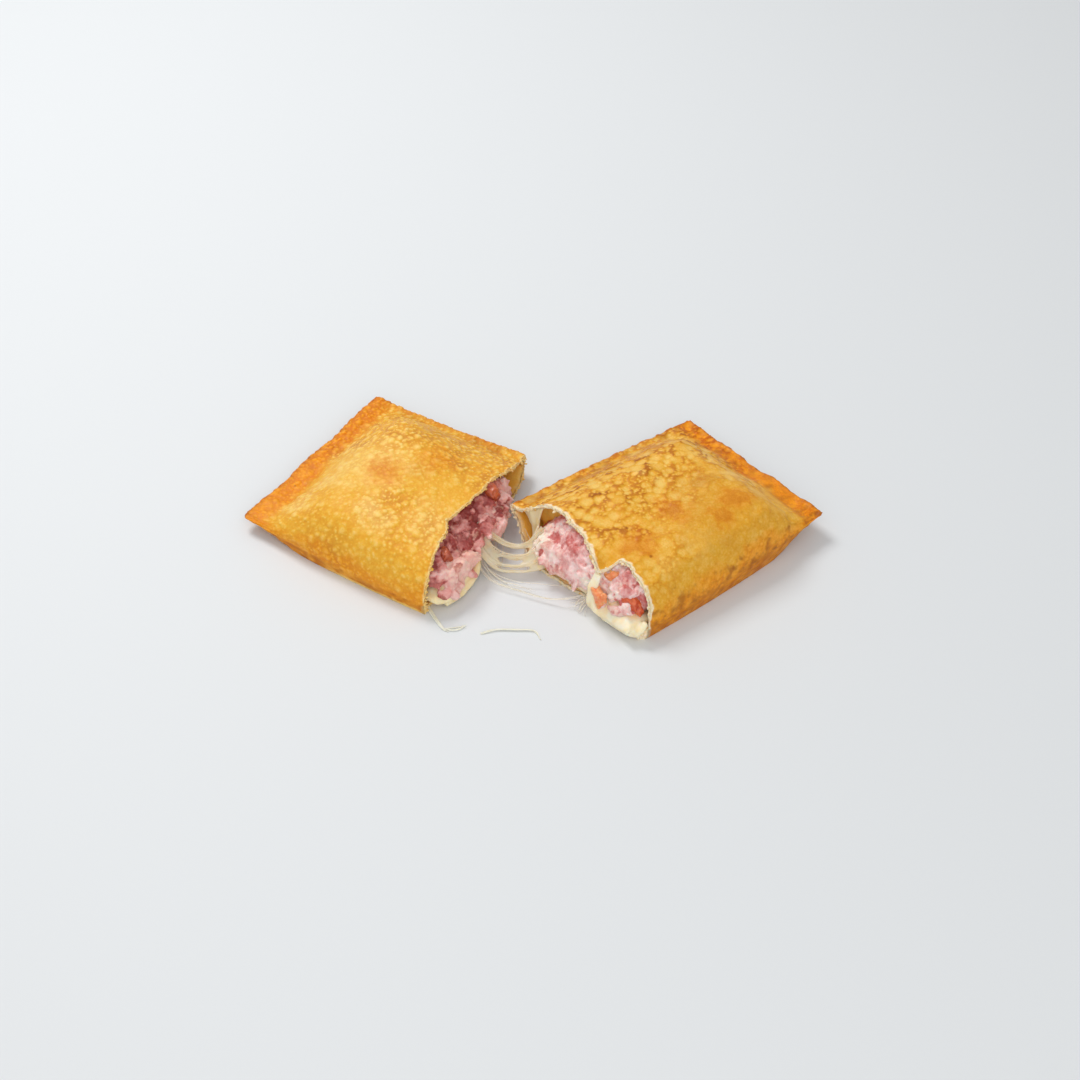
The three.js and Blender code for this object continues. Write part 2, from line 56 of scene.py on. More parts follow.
Pair = tuple[float, float]
Triple = tuple[float, float, float]
Colour = tuple[float, float, float, float]

MM = 0.001  # metres in a millimetre
BODY = "root"

# Sizes shared by both halves, as in the solids
DOUGH = 1.7
RIM = 1.3
FOLD_RADIUS = 9.0
SLIT = 0.12
SEAM_INSET = 1.4
HAM_INSET = 3.5
HAM_CLEARANCE = 0.9
CHEESE_CLEARANCE = 0.45
CHEESE_BED = 2.4
HAM_FALL = 7.0
HAM_BULGE = 2.5
TO_ROW = np.array([3.2, -13.97, 0.0])  # from the photograph's frame to the row's
UP = np.array([0.0, 0.0, 1.0])


def clamp(x: Array) -> Array:
    """Limit values to the range from 0 to 1."""
    return np.clip(x, 0.0, 1.0)


def mix(a: Array, b: Array, share: Array) -> Array:
    """Blend from a at share 0 to b at share 1."""
    return a + (b - a) * share


def dome(x: Array) -> Array:
    """Quarter of an ellipse: it leaves 0 upright and reaches 1 level."""
    return np.sqrt(np.maximum(1.0 - (1.0 - clamp(x)) ** 2, 0.0))


def swell(x: Array) -> Array:
    """Quarter of a sine: it leaves 0 on a slope and reaches 1 level."""
    return np.sin(0.5 * math.pi * clamp(x))


def ease(x: Array) -> Array:
    """Smooth step from 0 at 0 to 1 at 1."""
    return clamp(x) ** 2 * (3.0 - 2.0 * clamp(x))


def bell(x: Array) -> Array:
    """Bell curve: 1 at 0, and near 0 beyond 2 on either side."""
    return np.exp(-np.square(x))


def along(values: tuple[float, ...], x: Array) -> Array:
    """Read a smooth curve through evenly spaced values.

    Args:
        values: The curve's values from its start to its end.
        x: Where to read it, from 0 to 1.

    Returns:
        The curve's value at each x.
    """
    table = np.asarray(values, float)
    place = clamp(x) * (len(table) - 1)
    k = np.minimum(np.floor(place).astype(int), len(table) - 2)
    return mix(table[k], table[k + 1], ease(place - k))


def soft(x: Array, width: float) -> Array:
    """Limit values to 0 or more with a rounded corner of the given width."""
    return 0.5 * (x + np.sqrt(x * x + width * width))


def unit(vectors: Array) -> Array:
    """Scale vectors to length 1."""
    return vectors / np.maximum(np.linalg.norm(vectors, axis=-1, keepdims=True), 1e-9)


def above(points: Array, low: float) -> Array:
    """Lift points that lie lower than a height up to it."""
    return np.maximum(points, (-np.inf, -np.inf, low))


def linear(*screen: int) -> Colour:
    """Turn a screen colour of 0 to 255 into a linear one with full alpha."""
    shares = [value / 255 for value in screen]
    return (*(s / 12.92 if s <= 0.04045 else ((s + 0.055) / 1.055) ** 2.4 for s in shares), 1.0)


def grid_normals(points: Array) -> Array:
    """Unit normals of a grid of points, facing up where the grid runs anticlockwise."""
    return unit(np.cross(np.gradient(points, axis=0), np.gradient(points, axis=1)))


def planted(points: Array) -> KDTree:
    """Plant points in a tree that finds the nearest of them.

    Args:
        points: The points.

    Returns:
        The balanced tree.
    """
    tree = KDTree(len(points))
    for k, point in enumerate(points):
        tree.insert(point, k)
    tree.balance()
    return tree


class Noise:
    """Smooth random relief in space, the same on each run."""

    TABLE = 4096
    STEPS = np.array([73856093, 19349663, 83492791])

    def __init__(self, seed: int) -> None:
        """Draw the lattice values of the pattern that the seed picks."""
        self.values = default_rng(seed).uniform(-1.0, 1.0, self.TABLE)

    def lattice(self, corner: Array) -> Array:
        """Read the value of each whole-numbered lattice corner."""
        x, y, z = np.moveaxis(corner * self.STEPS, -1, 0)
        return self.values[(x ^ y ^ z) & (self.TABLE - 1)]

    def at(self, points: Array, size: float) -> Array:
        """Read one octave.

        Args:
            points: Points of three coordinates.
            size: Width of the pattern's lumps, in the points' unit.

        Returns:
            A value from -1 to 1 for each point.
        """
        scaled = points / size
        base = np.floor(scaled).astype(np.int64)
        share = ease(scaled - base)
        total = np.zeros(points.shape[:-1])
        for step in np.ndindex(2, 2, 2):
            weight = np.ones(points.shape[:-1])
            for axis in range(3):
                part = share[..., axis]
                weight = weight * (part if step[axis] else 1.0 - part)
            total += weight * self.lattice(base + np.array(step))
        return total

    def layered(self, points: Array, size: float, octaves: int = 3) -> Array:
        """Sum octaves, each half as wide and half as strong as the one before."""
        return sum(self.at(points + 17.3 * n, size / 2**n) / 2**n for n in range(octaves))

    def plane(self, x: Array, y: Array, size: float, octaves: int = 3) -> Array:
        """Read layered noise over a plane."""
        points = np.stack(np.broadcast_arrays(x, y, 0.37 * size), -1)
        return self.layered(points, size, octaves)


class Side(Enum):
    """The two torn halves."""

    LEFT = "left"
    RIGHT = "right"


@dataclass(frozen=True)
class Blister:
    """A broad swell of the upper sheet, placed by shares along and across the half."""

    u: float
    v: float
    radius: float
    height: float


@dataclass(frozen=True)
class Tongue:
    """A tip of the upper sheet that hangs into the mouth."""

    at: float
    width: float
    droop: float


@dataclass(frozen=True)
class Half:
    """The form of one torn half.

    u runs from the sealed end, 0, to the mouth, 1, and v from the folded front, 0, to the
    crimped back, 1. Each corner is the middle of the dough there, in the order sealed end
    at the front, sealed end at the back, mouth at the back, mouth at the front. A tear is
    pairs of v and the set-back of the torn edge from the straight mouth line. The other
    lists are evenly spaced from the front to the back.
    """

    side: Side
    corners: tuple[Triple, ...]
    length: float
    width: float
    puff: float
    belly: float
    mouth_drop: float
    end_rim: float
    end_slope: float
    back_rim: float
    back_slope: float
    mouth_back_slope: float
    front_slope: float
    bow: Triple
    wave: tuple[float, float, float, float]
    tear_top: tuple[Pair, ...]
    tear_bottom: tuple[Pair, ...]
    tongue: Tongue
    blisters: tuple[Blister, ...]
    ham_reach: tuple[float, ...]
    ham_air: tuple[float, ...]
    cheese_reach: tuple[float, ...]
    cheese_bulge: tuple[float, ...]
    cheese_lip: tuple[float, ...]
    seed: int

    @property
    def name(self) -> str:
        """The side's word, as in the node names."""
        return self.side.value

    def plan_corners(self) -> Array:
        """The corners in the row frame."""
        return np.array(self.corners, float) + TO_ROW

    def mouthward(self) -> Array:
        """Unit vector in plan towards the mouth."""
        a, b, c, d = self.plan_corners()
        return unit((c + d - a - b) * (1, 1, 0))

    def backward(self) -> Array:
        """Unit vector in plan towards the crimped back."""
        a, b, c, d = self.plan_corners()
        return unit((b + c - a - d) * (1, 1, 0))

    def tear(self, v: Array, top: bool) -> Array:
        """Trace a sheet's torn edge, with fine raggedness.

        Args:
            v: Shares across.
            top: Whether it is the upper sheet.

        Returns:
            The share of the length at which the sheet is torn off.
        """
        pairs = np.array(self.tear_top if top else self.tear_bottom)
        set_back = np.interp(v, pairs[:, 0], pairs[:, 1])
        noise = Noise(self.seed + (1 if top else 2))
        inside = swell(12 * v) * swell(12 * (1 - v))
        across = v * self.width
        rough = 0.7 * noise.plane(across, 0 * v, 5.0, 2) + 0.4 * noise.plane(across, 9 + 0 * v, 1.6, 2)
        return 1 - (set_back + rough * inside) / self.length

    def middle(self, u: Array, v: Array) -> Array:
        """Shape the surface midway between the two sheets of dough.

        Args:
            u: Shares of the length.
            v: Shares across.

        Returns:
            The points there.
        """
        a, b, c, d = self.plan_corners()
        s, t = u[..., None], v[..., None]
        point = a * (1 - s) * (1 - t) + b * (1 - s) * t + c * s * t + d * s * (1 - t)
        plan, lift, turns, phase = self.wave
        end_bow, front_bow, back_bow = self.bow
        ripple = np.sin(2 * math.pi * turns * v + phase)
        near_end = (1 - clamp(u)) ** 2
        in_span = 4 * v * (1 - v)
        end_shift = near_end * in_span * (end_bow + plan * ripple)
        span = 4 * clamp(u) * (1 - clamp(u))
        side_shift = span * (back_bow * v**2 - front_bow * (1 - v) ** 2)
        point = point + side_shift[..., None] * self.backward()
        point = point - end_shift[..., None] * self.mouthward()
        point[..., 2] += lift * ripple * near_end * in_span
        return point

    def parting(self, u: Array, v: Array) -> Array:
        """Measure how far the sheets have parted.

        Args:
            u: Shares of the length.
            v: Shares across.

        Returns:
            0 at the crimped rims, and up to 1 inside them.
        """
        from_end = soft(u * self.length - self.end_rim, 3.0)
        from_back = soft((1 - v) * self.width - self.back_rim, 1.6)
        slope = mix(self.back_slope, self.mouth_back_slope, ease((u - 0.35) / 0.65))
        return swell(from_end / self.end_slope) * swell(from_back / slope)

    def upper_rise(self, u: Array, v: Array) -> Array:
        """Puff up the upper sheet, with its broad blisters.

        Args:
            u: Shares of the length.
            v: Shares across.

        Returns:
            Its rise over the middle surface.
        """
        shape = self.parting(u, v) * swell(v * self.width / self.front_slope + 0.35)
        drop = 1 - self.mouth_drop * ease((u - 0.6) / 0.4)
        rise = RIM + self.puff * shape * drop
        for blister in self.blisters:
            away = np.hypot((u - blister.u) * self.length, (v - blister.v) * self.width)
            rise = rise + blister.height * bell(away / blister.radius) * shape
        return rise

    def lower_drop(self, u: Array, v: Array) -> Array:
        """Drop of the lower sheet under the middle surface."""
        return RIM + self.belly * self.parting(u, v)

    def sag(self, u: Array, v: Array) -> Array:
        """Sag of the upper sheet's tongue."""
        near_tear = ease(1 + (u - 1) * self.length / 8)
        return self.tongue.droop * near_tear * bell((v - self.tongue.at) / self.tongue.width)

    def outer_rounding(self, u: Array, v: Array) -> Array:
        """Rounding of the outer sheets at the front, the back and the sealed end."""
        sides = dome(v * self.width / FOLD_RADIUS) * dome((1 - v) * self.width / RIM)
        return sides * dome(u * self.length / RIM)

    def outer_top(self, u: Array, v: Array) -> Array:
        """The upper sheet's outer face."""
        rise = self.upper_rise(u, v) * self.outer_rounding(u, v) - self.sag(u, v)
        return self.middle(u, v) + rise[..., None] * UP

    def outer_bottom(self, u: Array, v: Array) -> Array:
        """The lower sheet's outer face, flat where it lies on the surface below."""
        drop = self.lower_drop(u, v) * self.outer_rounding(u, v)
        return above(self.middle(u, v) - drop[..., None] * UP, 0.0)

    def cavity(self) -> Triple:
        """Where the cavity starts: its seam in u, and its front and back seams in v."""
        end = (self.end_rim - 1) / self.length
        return end, DOUGH / self.width, 1 - (self.back_rim - 1) / self.width

    def inner_rounding(self, u: Array, v: Array, inset: float = 0.0) -> Array:
        """Round the cavity at its seams.

        Args:
            u: Shares of the length.
            v: Shares across.
            inset: How far inside the seams what fills it ends.

        Returns:
            0 at the seams, and up to 1 inside them.
        """
        end, front, back = self.cavity()
        at_front = dome(((v - front) * self.width - inset) / (FOLD_RADIUS - DOUGH))
        at_back = dome(((back - v) * self.width - inset) / 2)
        return at_front * at_back * dome(((u - end) * self.length - inset) / 2)

    def inner_top(self, u: Array, v: Array, margin: float = 0.0) -> Array:
        """Shape the upper sheet's inner face.

        Args:
            u: Shares of the length.
            v: Shares across.
            margin: How far under that face to stay.

        Returns:
            The points there.
        """
        height = np.maximum(self.upper_rise(u, v) - DOUGH - margin, SLIT)
        rise = height * self.inner_rounding(u, v, margin) - self.sag(u, v)
        return self.middle(u, v) + rise[..., None] * UP

    def inner_bottom(self, u: Array, v: Array, margin: float = 0.0) -> Array:
        """Shape the lower sheet's inner face.

        Args:
            u: Shares of the length.
            v: Shares across.
            margin: How far over that face to stay.

        Returns:
            The points there.
        """
        point = self.middle(u, v)
        floor = np.maximum(point[..., 2] - self.lower_drop(u, v), 0) + DOUGH + margin
        low = np.minimum(floor, point[..., 2] - SLIT)
        point[..., 2] = mix(point[..., 2], low, self.inner_rounding(u, v, margin))
        return point

    def bed_top(self, u: Array, v: Array) -> Array:
        """Height of the top of the cheese bed, thicker at the mouth's lip."""
        lip = along(self.cheese_lip, v) * ease((u - 0.8) / 0.2)
        return self.inner_bottom(u, v, CHEESE_CLEARANCE)[..., 2] + CHEESE_BED + lip

    def ham_top(self, u: Array, v: Array) -> Array:
        """Shape the ham's top, which falls away outside the tear.

        Args:
            u: Shares of the length.
            v: Shares across.

        Returns:
            Its height.
        """
        air = along(self.ham_air, v) * ease((u - 0.5) / 0.5)
        past_tear = (u - self.tear(v, True)) * self.length + 3
        top = self.inner_top(u, v, HAM_CLEARANCE)[..., 2]
        return top - air - HAM_FALL * ease(past_tear / 10)

    @cached_property
    def girth_table(self) -> tuple[Array, Array]:
        """Measure over the upper sheet from the front to the back.

        Returns:
            Steps of v, and the distance over the sheet to each.
        """
        v = np.linspace(0, 1, 801)
        steps = np.diff(self.outer_top(np.full_like(v, 0.65), v), axis=0)
        return v, np.concatenate([[0], np.cumsum(np.linalg.norm(steps, axis=-1))])

    @property
    def girth(self) -> float:
        """The distance over the upper sheet from the front to the back."""
        return self.girth_table[1][-1]

    def over(self, v: Array) -> Array:
        """The distance over the upper sheet from the front to v."""
        return np.interp(v, *self.girth_table)

    def across(self, distance: Array) -> Array:
        """The v that lies a distance over the upper sheet from the front."""
        v, distances = self.girth_table
        return np.interp(distance, distances, v)

    def at_mouth(self, v: float, height: float, out: float) -> Array:
        """A point on the mouth: at v across, at a height, and out past the mouth line."""
        point = self.middle(np.array(1.0), np.array(float(v))) + out * self.mouthward()
        return np.array([*point[:2], height])


LEFT = Half(
    side=Side.LEFT,
    corners=((-131.7, 8.5, 6), (-76.7, 89.5, 8), (-6.4, 45.8, 10), (-49.1, -47.5, 5.5)),
    length=92,
    width=98,
    puff=20,
    belly=16,
    mouth_drop=0.12,
    end_rim=11,
    end_slope=34,
    back_rim=5,
    back_slope=28,
    mouth_back_slope=52,
    front_slope=34,
    bow=(-1, 1.5, -1.5),
    wave=(0.3, 0.4, 2.6, 0.4),
    tear_top=(
        (0, 0.5), (0.055, 0.9), (0.115, 1.9), (0.18, 1.4), (0.27, 2.5), (0.32, 4.8),
        (0.405, 3.3), (0.47, 1.6), (0.59, 0.1), (0.68, -0.2), (0.83, -1.4), (1, 0),
    ),
    tear_bottom=(
        (0, 0.5), (0.125, 0), (0.375, -1), (0.5, -2), (0.75, -3), (0.875, -4), (1, 0),
    ),
    tongue=Tongue(0.5, 0.08, 0),
    blisters=(
        Blister(0.42, 0.62, 9, 0.9),
        Blister(0.62, 0.35, 8, 0.8),
        Blister(0.35, 0.3, 8, 0.7),
    ),
    ham_reach=(0, 2.5, 4, 5.5, 7.5, 7, 3, -12, -22),
    ham_air=(1, 1, 1, 1.2, 1.5, 1.5, 2, 2, 1),
    cheese_reach=(2, 5, 5.5, 2.5, 3, 3, 3, -10, -20),
    cheese_bulge=(0.5, 4.5, 4.5, 2, 0.5, 0.5, 0.5, 0.5, 0),
    cheese_lip=(4, 6, 6, 2, 0, 0, 0, 0, 0),
    seed=100,
)
RIGHT = Half(
    side=Side.RIGHT,
    corners=((125.3, 5.7, 11), (69.5, 74, 7), (-13.2, 7.6, 14), (43.5, -63.3, 6)),
    length=106,
    width=90,
    puff=19,
    belly=16,
    mouth_drop=0.08,
    end_rim=10,
    end_slope=26,
    back_rim=5,
    back_slope=28,
    mouth_back_slope=30,
    front_slope=34,
    bow=(-1, 1.5, 0.5),
    wave=(0.35, 0.6, 3.1, 1.4),
    tear_top=(
        (0, 2.6), (0.03, 5.1), (0.128, 6.1), (0.208, 7.7), (0.258, 6), (0.295, -3.5),
        (0.362, -2.3), (0.417, 0.6), (0.49, 3.4), (0.63, 3.8), (0.785, 4.1), (0.85, 0.4),
        (1, 0),
    ),
    tear_bottom=(
        (0, 2.6), (0.03, -0.8), (0.25, -0.7), (0.375, -1.5), (0.5, -4.5), (0.625, -6.5),
        (0.75, -6), (0.875, -3), (1, 0),
    ),
    tongue=Tongue(0.29, 0.04, 4),
    blisters=(
        Blister(0.28, 0.72, 6, 1.6),
        Blister(0.2, 0.5, 5, 1.2),
        Blister(0.38, 0.36, 7, 1.1),
        Blister(0.55, 0.62, 6, 1.2),
        Blister(0.74, 0.52, 6, 1.4),
        Blister(0.5, 0.2, 9, 0.8),
    ),
    ham_reach=(-4, -2, -1, 0.5, 2.5, 4.5, 2, -14, -22),
    ham_air=(1, 1, 1.5, 1.5, 1.5, 4, 9, 13, 8),
    cheese_reach=(5, 2.5, 2.5, 1, 3, 4.5, 4, -12, -20),
    cheese_bulge=(1, 4.2, 4.8, 2, 0.5, 0.5, 0.5, 0.5, 0),
    cheese_lip=(5, 6, 6, 2, 0, 0, 0, 0, 0),
    seed=200,
)


class Draft:
    """Points, faces and painted values of a mesh that is being built."""

    def __init__(self) -> None:
        """Start with nothing."""
        self.points: list[Array] = []
        self.paint: dict[str, list[tuple[int, Array]]] = {}
        self.quads: list[Array] = []
        self.triangles: list[Array] = []
        self.count = 0

    def add(self, points: Array, **paint: Array) -> Array:
        """Add points.

        Args:
            points: An array whose last axis holds x, y and z in millimetres.
            **paint: Values to store on the points, each a number or one per point.

        Returns:
            The points' numbers, in the array's own shape.
        """
        shape = points.shape[:-1]
        total = int(np.prod(shape))
        for name, values in paint.items():
            full = np.broadcast_to(values, shape).reshape(-1)
            self.paint.setdefault(name, []).append((self.count, full))
        ids = np.arange(self.count, self.count + total).reshape(shape)
        self.points.append(points.reshape(-1, 3))
        self.count += total
        return ids

    def sheet(self, ids: Array, flip: bool = False) -> None:
        """Add the quads of a grid.

        Args:
            ids: The grid's point numbers.
            flip: Whether the quads face down.
        """
        a, b, c, d = ids[:-1, :-1], ids[1:, :-1], ids[1:, 1:], ids[:-1, 1:]
        corners = (a, d, c, b) if flip else (a, b, c, d)
        self.quads.append(np.stack([k.ravel() for k in corners], -1))

    def zip(self, first: Array, second: Array, flip: bool = False) -> None:
        """Fill the strip between two lines that hold different numbers of points.

        Args:
            first: Point numbers along one line.
            second: Point numbers along the other.
            flip: Whether the triangles face the other way.
        """
        i = j = 0
        faces = []
        while i < len(first) - 1 or j < len(second) - 1:
            ahead_first = (i + 1) / (len(first) - 1)
            ahead_second = (j + 1) / (len(second) - 1)
            if j == len(second) - 1 or (i < len(first) - 1 and ahead_first <= ahead_second):
                faces.append((first[i], first[i + 1], second[j]))
                i += 1
            else:
                faces.append((first[i], second[j + 1], second[j]))
                j += 1
        made = np.array([f for f in faces if len(set(f)) == 3])
        self.triangles.append(made[:, ::-1] if flip else made)

    def lump(self, points: Array, faces: Array, **paint: Array) -> None:
        """Add a closed lump of triangles."""
        ids = self.add(points, **paint)
        self.triangles.append(ids[faces])

    def tube(self, path: Array, radii: Array, flat: float = 1.0, sides: int = 8) -> None:
        """Add a closed tube along a path.

        Args:
            path: The tube's centreline.
            radii: Its radius at each point of the path, or one for all.
            flat: How much taller than wide it is.
            sides: Its number of sides.
        """
        tangent = unit(np.gradient(path, axis=0))
        across = unit(np.cross(tangent, (0.02, 0.01, 1.0)))
        up = np.cross(across, tangent)
        angle = np.linspace(0, 2 * math.pi, sides, endpoint=False)
        sideways = np.cos(angle)[None, :, None] * across[:, None]
        upward = flat * np.sin(angle)[None, :, None] * up[:, None]
        radii = np.broadcast_to(radii, len(path))[:, None, None]
        ids = self.add(path[:, None] + radii * (sideways + upward))
        self.sheet(np.concatenate([ids, ids[:, :1]], axis=1), flip=True)
        for end, flip in ((0, False), (-1, True)):
            tip = self.add(path[end][None])[0]
            loop = np.append(ids[end], ids[end][0])
            fan = np.stack([loop[:-1], loop[1:], np.full(sides, tip)], -1)
            self.triangles.append(fan[:, ::-1] if flip else fan)

    def membrane(self, grid: Array, thickness: float) -> None:
        """Add a thin closed sheet, thinned to nothing at its border.

        Args:
            grid: Points over the sheet.
            thickness: Its thickness in the middle.
        """
        rows, columns = grid.shape[:2]
        inward = np.minimum(np.arange(rows)[:, None], np.arange(columns)[None, :])
        onward = np.minimum(np.arange(rows)[::-1, None], np.arange(columns)[None, ::-1])
        depth = clamp(np.minimum(inward, onward) / 2.0)[..., None] * thickness / 2
        normals = grid_normals(grid)
        over = self.add(grid + depth * normals)
        under = over.copy()
        under[1:-1, 1:-1] = self.add((grid - depth * normals)[1:-1, 1:-1])
        self.sheet(over)
        self.sheet(under, flip=True)

    def values(self, name: str) -> Array:
        """Read the painted values of one name.

        Args:
            name: The values' name.

        Returns:
            The value at every point, 0 where none was given.
        """
        full = np.zeros(self.count)
        for start, part in self.paint[name]:
            full[start : start + len(part)] = part
        return full

    def fused(self, voxel: float, rounds: int = 3) -> tuple["Draft", Array]:
        """Fuse the overlapping lumps into one smoothed skin.

        Args:
            voxel: The skin's grain, in millimetres.
            rounds: How many times the skin is smoothed.

        Returns:
            The skin, and the normals of its points.
        """
        rough = self.build("rough_lumps")
        remesh = rough.modifiers.new("fuse", "REMESH")
        remesh.mode = "VOXEL"
        remesh.voxel_size = voxel * MM
        smooth = rough.modifiers.new("smooth", "SMOOTH")
        smooth.factor = 0.5
        smooth.iterations = rounds
        graph = bpy.context.evaluated_depsgraph_get()
        mesh = bpy.data.meshes.new_from_object(rough.evaluated_get(graph))
        lumps = rough.data
        bpy.data.objects.remove(rough)
        bpy.data.meshes.remove(lumps)
        points, normals = np.zeros((2, len(mesh.vertices) * 3))
        mesh.vertices.foreach_get("co", points)
        mesh.vertex_normals.foreach_get("vector", normals)
        corners = np.zeros(len(mesh.loops), int)
        mesh.loops.foreach_get("vertex_index", corners)
        sizes, starts = np.zeros((2, len(mesh.polygons)), int)
        mesh.polygons.foreach_get("loop_total", sizes)
        mesh.polygons.foreach_get("loop_start", starts)
        skin = Draft()
        ids = skin.add(points.reshape(-1, 3) / MM)
        for size, store in ((4, skin.quads), (3, skin.triangles)):
            first = starts[sizes == size]
            store.append(ids[corners[first[:, None] + np.arange(size)]])
        return skin, normals.reshape(-1, 3)

    def build(self, name: str, smooth: bool = True) -> Object:
        """Make the mesh object.

        Args:
            name: Its name.
            smooth: Whether its faces are shaded smooth.

        Returns:
            The object, linked to the scene.
        """
        points = np.concatenate(self.points)
        quads = np.concatenate([np.zeros((0, 4), int), *self.quads])
        triangles = np.concatenate([np.zeros((0, 3), int), *self.triangles])
        loops = np.concatenate([quads.ravel(), triangles.ravel()])
        sizes = np.repeat([4, 3], [len(quads), len(triangles)])
        starts = np.concatenate([[0], np.cumsum(sizes)[:-1]])
        mesh = bpy.data.meshes.new(name)
        mesh.vertices.add(len(points))
        mesh.vertices.foreach_set("co", (points * MM).astype(np.float32).ravel())
        mesh.loops.add(len(loops))
        mesh.loops.foreach_set("vertex_index", loops.astype(np.int32))
        mesh.polygons.add(len(sizes))
        mesh.polygons.foreach_set("loop_start", starts.astype(np.int32))
        mesh.update(calc_edges=True)
        mesh.validate()
        mesh.polygons.foreach_set("use_smooth", np.full(len(mesh.polygons), smooth))
        for key in self.paint:
            layer = mesh.attributes.new(key, "FLOAT", "POINT")
            layer.data.foreach_set("value", self.values(key).astype(np.float32))
        piece = bpy.data.objects.new(name, mesh)
        bpy.context.scene.collection.objects.link(piece)
        return piece


class Tree:
    """Short calls for wiring a shader's node tree."""

    def __init__(self, tree: NodeTree) -> None:
        """Wrap a node tree."""
        self.tree = tree

    def node(self, kind: str, **inputs: object) -> Node:
        """Add a node.

        Args:
            kind: The node's Blender type.
            **inputs: Input sockets to set or link, by name with spaces as underscores.

        Returns:
            The new node.
        """
        made = self.tree.nodes.new(kind)
        for name, value in inputs.items():
            self.feed(made.inputs[name.replace("_", " ")], value)
        return made

    def feed(self, socket: NodeSocket, value: object) -> None:
        """Give an input its value.

        Args:
            socket: The input.
            value: A socket to link into it, or a plain value.
        """
        if isinstance(value, NodeSocket):
            self.tree.links.new(value, socket)
        else:
            socket.default_value = value

    def shade(self, name: str, value: object) -> None:
        """Link or set an input of the material's Principled BSDF."""
        shader = next(n for n in self.tree.nodes if n.type == "BSDF_PRINCIPLED")
        self.feed(shader.inputs[name], value)

    def value(self, name: str) -> NodeSocket:
        """Read a painted value of the mesh.

        Args:
            name: The values' name.

        Returns:
            The value's socket.
        """
        made = self.node("ShaderNodeAttribute")
        made.attribute_name = name
        return made.outputs["Fac"]

    def math(self, operation: str, *terms: object) -> NodeSocket:
        """Work out a sum, clamping nothing.

        Args:
            operation: The Math node's operation.
            *terms: Its inputs in order.

        Returns:
            The result's socket.
        """
        made = self.tree.nodes.new("ShaderNodeMath")
        made.operation = operation
        for socket, term in zip(made.inputs, terms):
            self.feed(socket, term)
        return made.outputs["Value"]

    def span(self, value: object, low: float, high: float) -> NodeSocket:
        """Stretch a value so that low becomes 0 and high becomes 1, clamped."""
        made = self.node("ShaderNodeMapRange", Value=value, From_Min=low, From_Max=high)
        return made.outputs["Result"]

    def blend(self, share: object, first: object, second: object) -> NodeSocket:
        """Mix two colours.

        Args:
            share: How much of the second there is, from 0 to 1.
            first: One colour.
            second: The other colour.

        Returns:
            The mixed colour's socket.
        """
        made = self.tree.nodes.new("ShaderNodeMix")
        made.data_type = "RGBA"
        self.feed(made.inputs["Factor"], share)
        colours = [s for s in made.inputs if s.type == "RGBA"]
        self.feed(colours[0], first)
        self.feed(colours[1], second)
        return next(s for s in made.outputs if s.type == "RGBA")

    def shared(self, effect: NodeTree, *values: float) -> NodeSocket:
        """Place a shared effect with values of its own.

        Args:
            effect: The effect's node group.
            *values: Its inputs in order.

        Returns:
            Its output.
        """
        made = self.tree.nodes.new("ShaderNodeGroup")
        made.node_tree = effect
        for socket, value in zip(made.inputs, values):
            socket.default_value = value
        return made.outputs[0]


def start_effect(name: str, *inputs: str) -> tuple[Tree, Node, Node]:
    """Start a shared effect, a node group with number sockets and one output.

    Args:
        name: The group's name.
        *inputs: The names of its inputs.

    Returns:
        The group's tree, its input node and its output node.
    """
    made = bpy.data.node_groups.new(name, "ShaderNodeTree")
    for key in inputs:
        made.interface.new_socket(key, in_out="INPUT", socket_type="NodeSocketFloat")
    made.interface.new_socket("Result", in_out="OUTPUT", socket_type="NodeSocketFloat")
    return Tree(made), made.nodes.new("NodeGroupInput"), made.nodes.new("NodeGroupOutput")


@cache
def mottle() -> NodeTree:
    """Make the effect of soft uneven patches, once.

    Returns:
        The group. It takes a scale and a contrast and gives a mask from 0 to 1.
    """
    tree, given, out = start_effect("mottle", "Scale", "Contrast")
    place = tree.node("ShaderNodeTexCoord").outputs["Object"]
    noise = tree.node("ShaderNodeTexNoise", Vector=place, Scale=given.outputs["Scale"], Detail=4.0)
    centred = tree.math("SUBTRACT", noise.outputs["Fac"], 0.5)
    spread = tree.math("MULTIPLY", centred, given.outputs["Contrast"])
    lifted = tree.node("ShaderNodeClamp", Value=tree.math("ADD", spread, 0.5))
    tree.feed(out.inputs["Result"], lifted.outputs["Result"])
    return tree.tree


@cache
def grain() -> NodeTree:
    """Make the effect of fine relief, once: small cells under finer noise.

    Returns:
        The group. It takes a scale and the cells' strength and gives a height.
    """
    tree, given, out = start_effect("grain", "Scale", "Cells")
    place = tree.node("ShaderNodeTexCoord").outputs["Object"]
    cells = tree.node("ShaderNodeTexVoronoi", Vector=place, Scale=given.outputs["Scale"])
    noise = tree.node("ShaderNodeTexNoise", Vector=place, Scale=given.outputs["Scale"], Detail=3.0)
    hollow = tree.math("MULTIPLY", cells.outputs["Distance"], given.outputs["Cells"])
    tree.feed(out.inputs["Result"], tree.math("SUBTRACT", noise.outputs["Fac"], hollow))
    return tree.tree


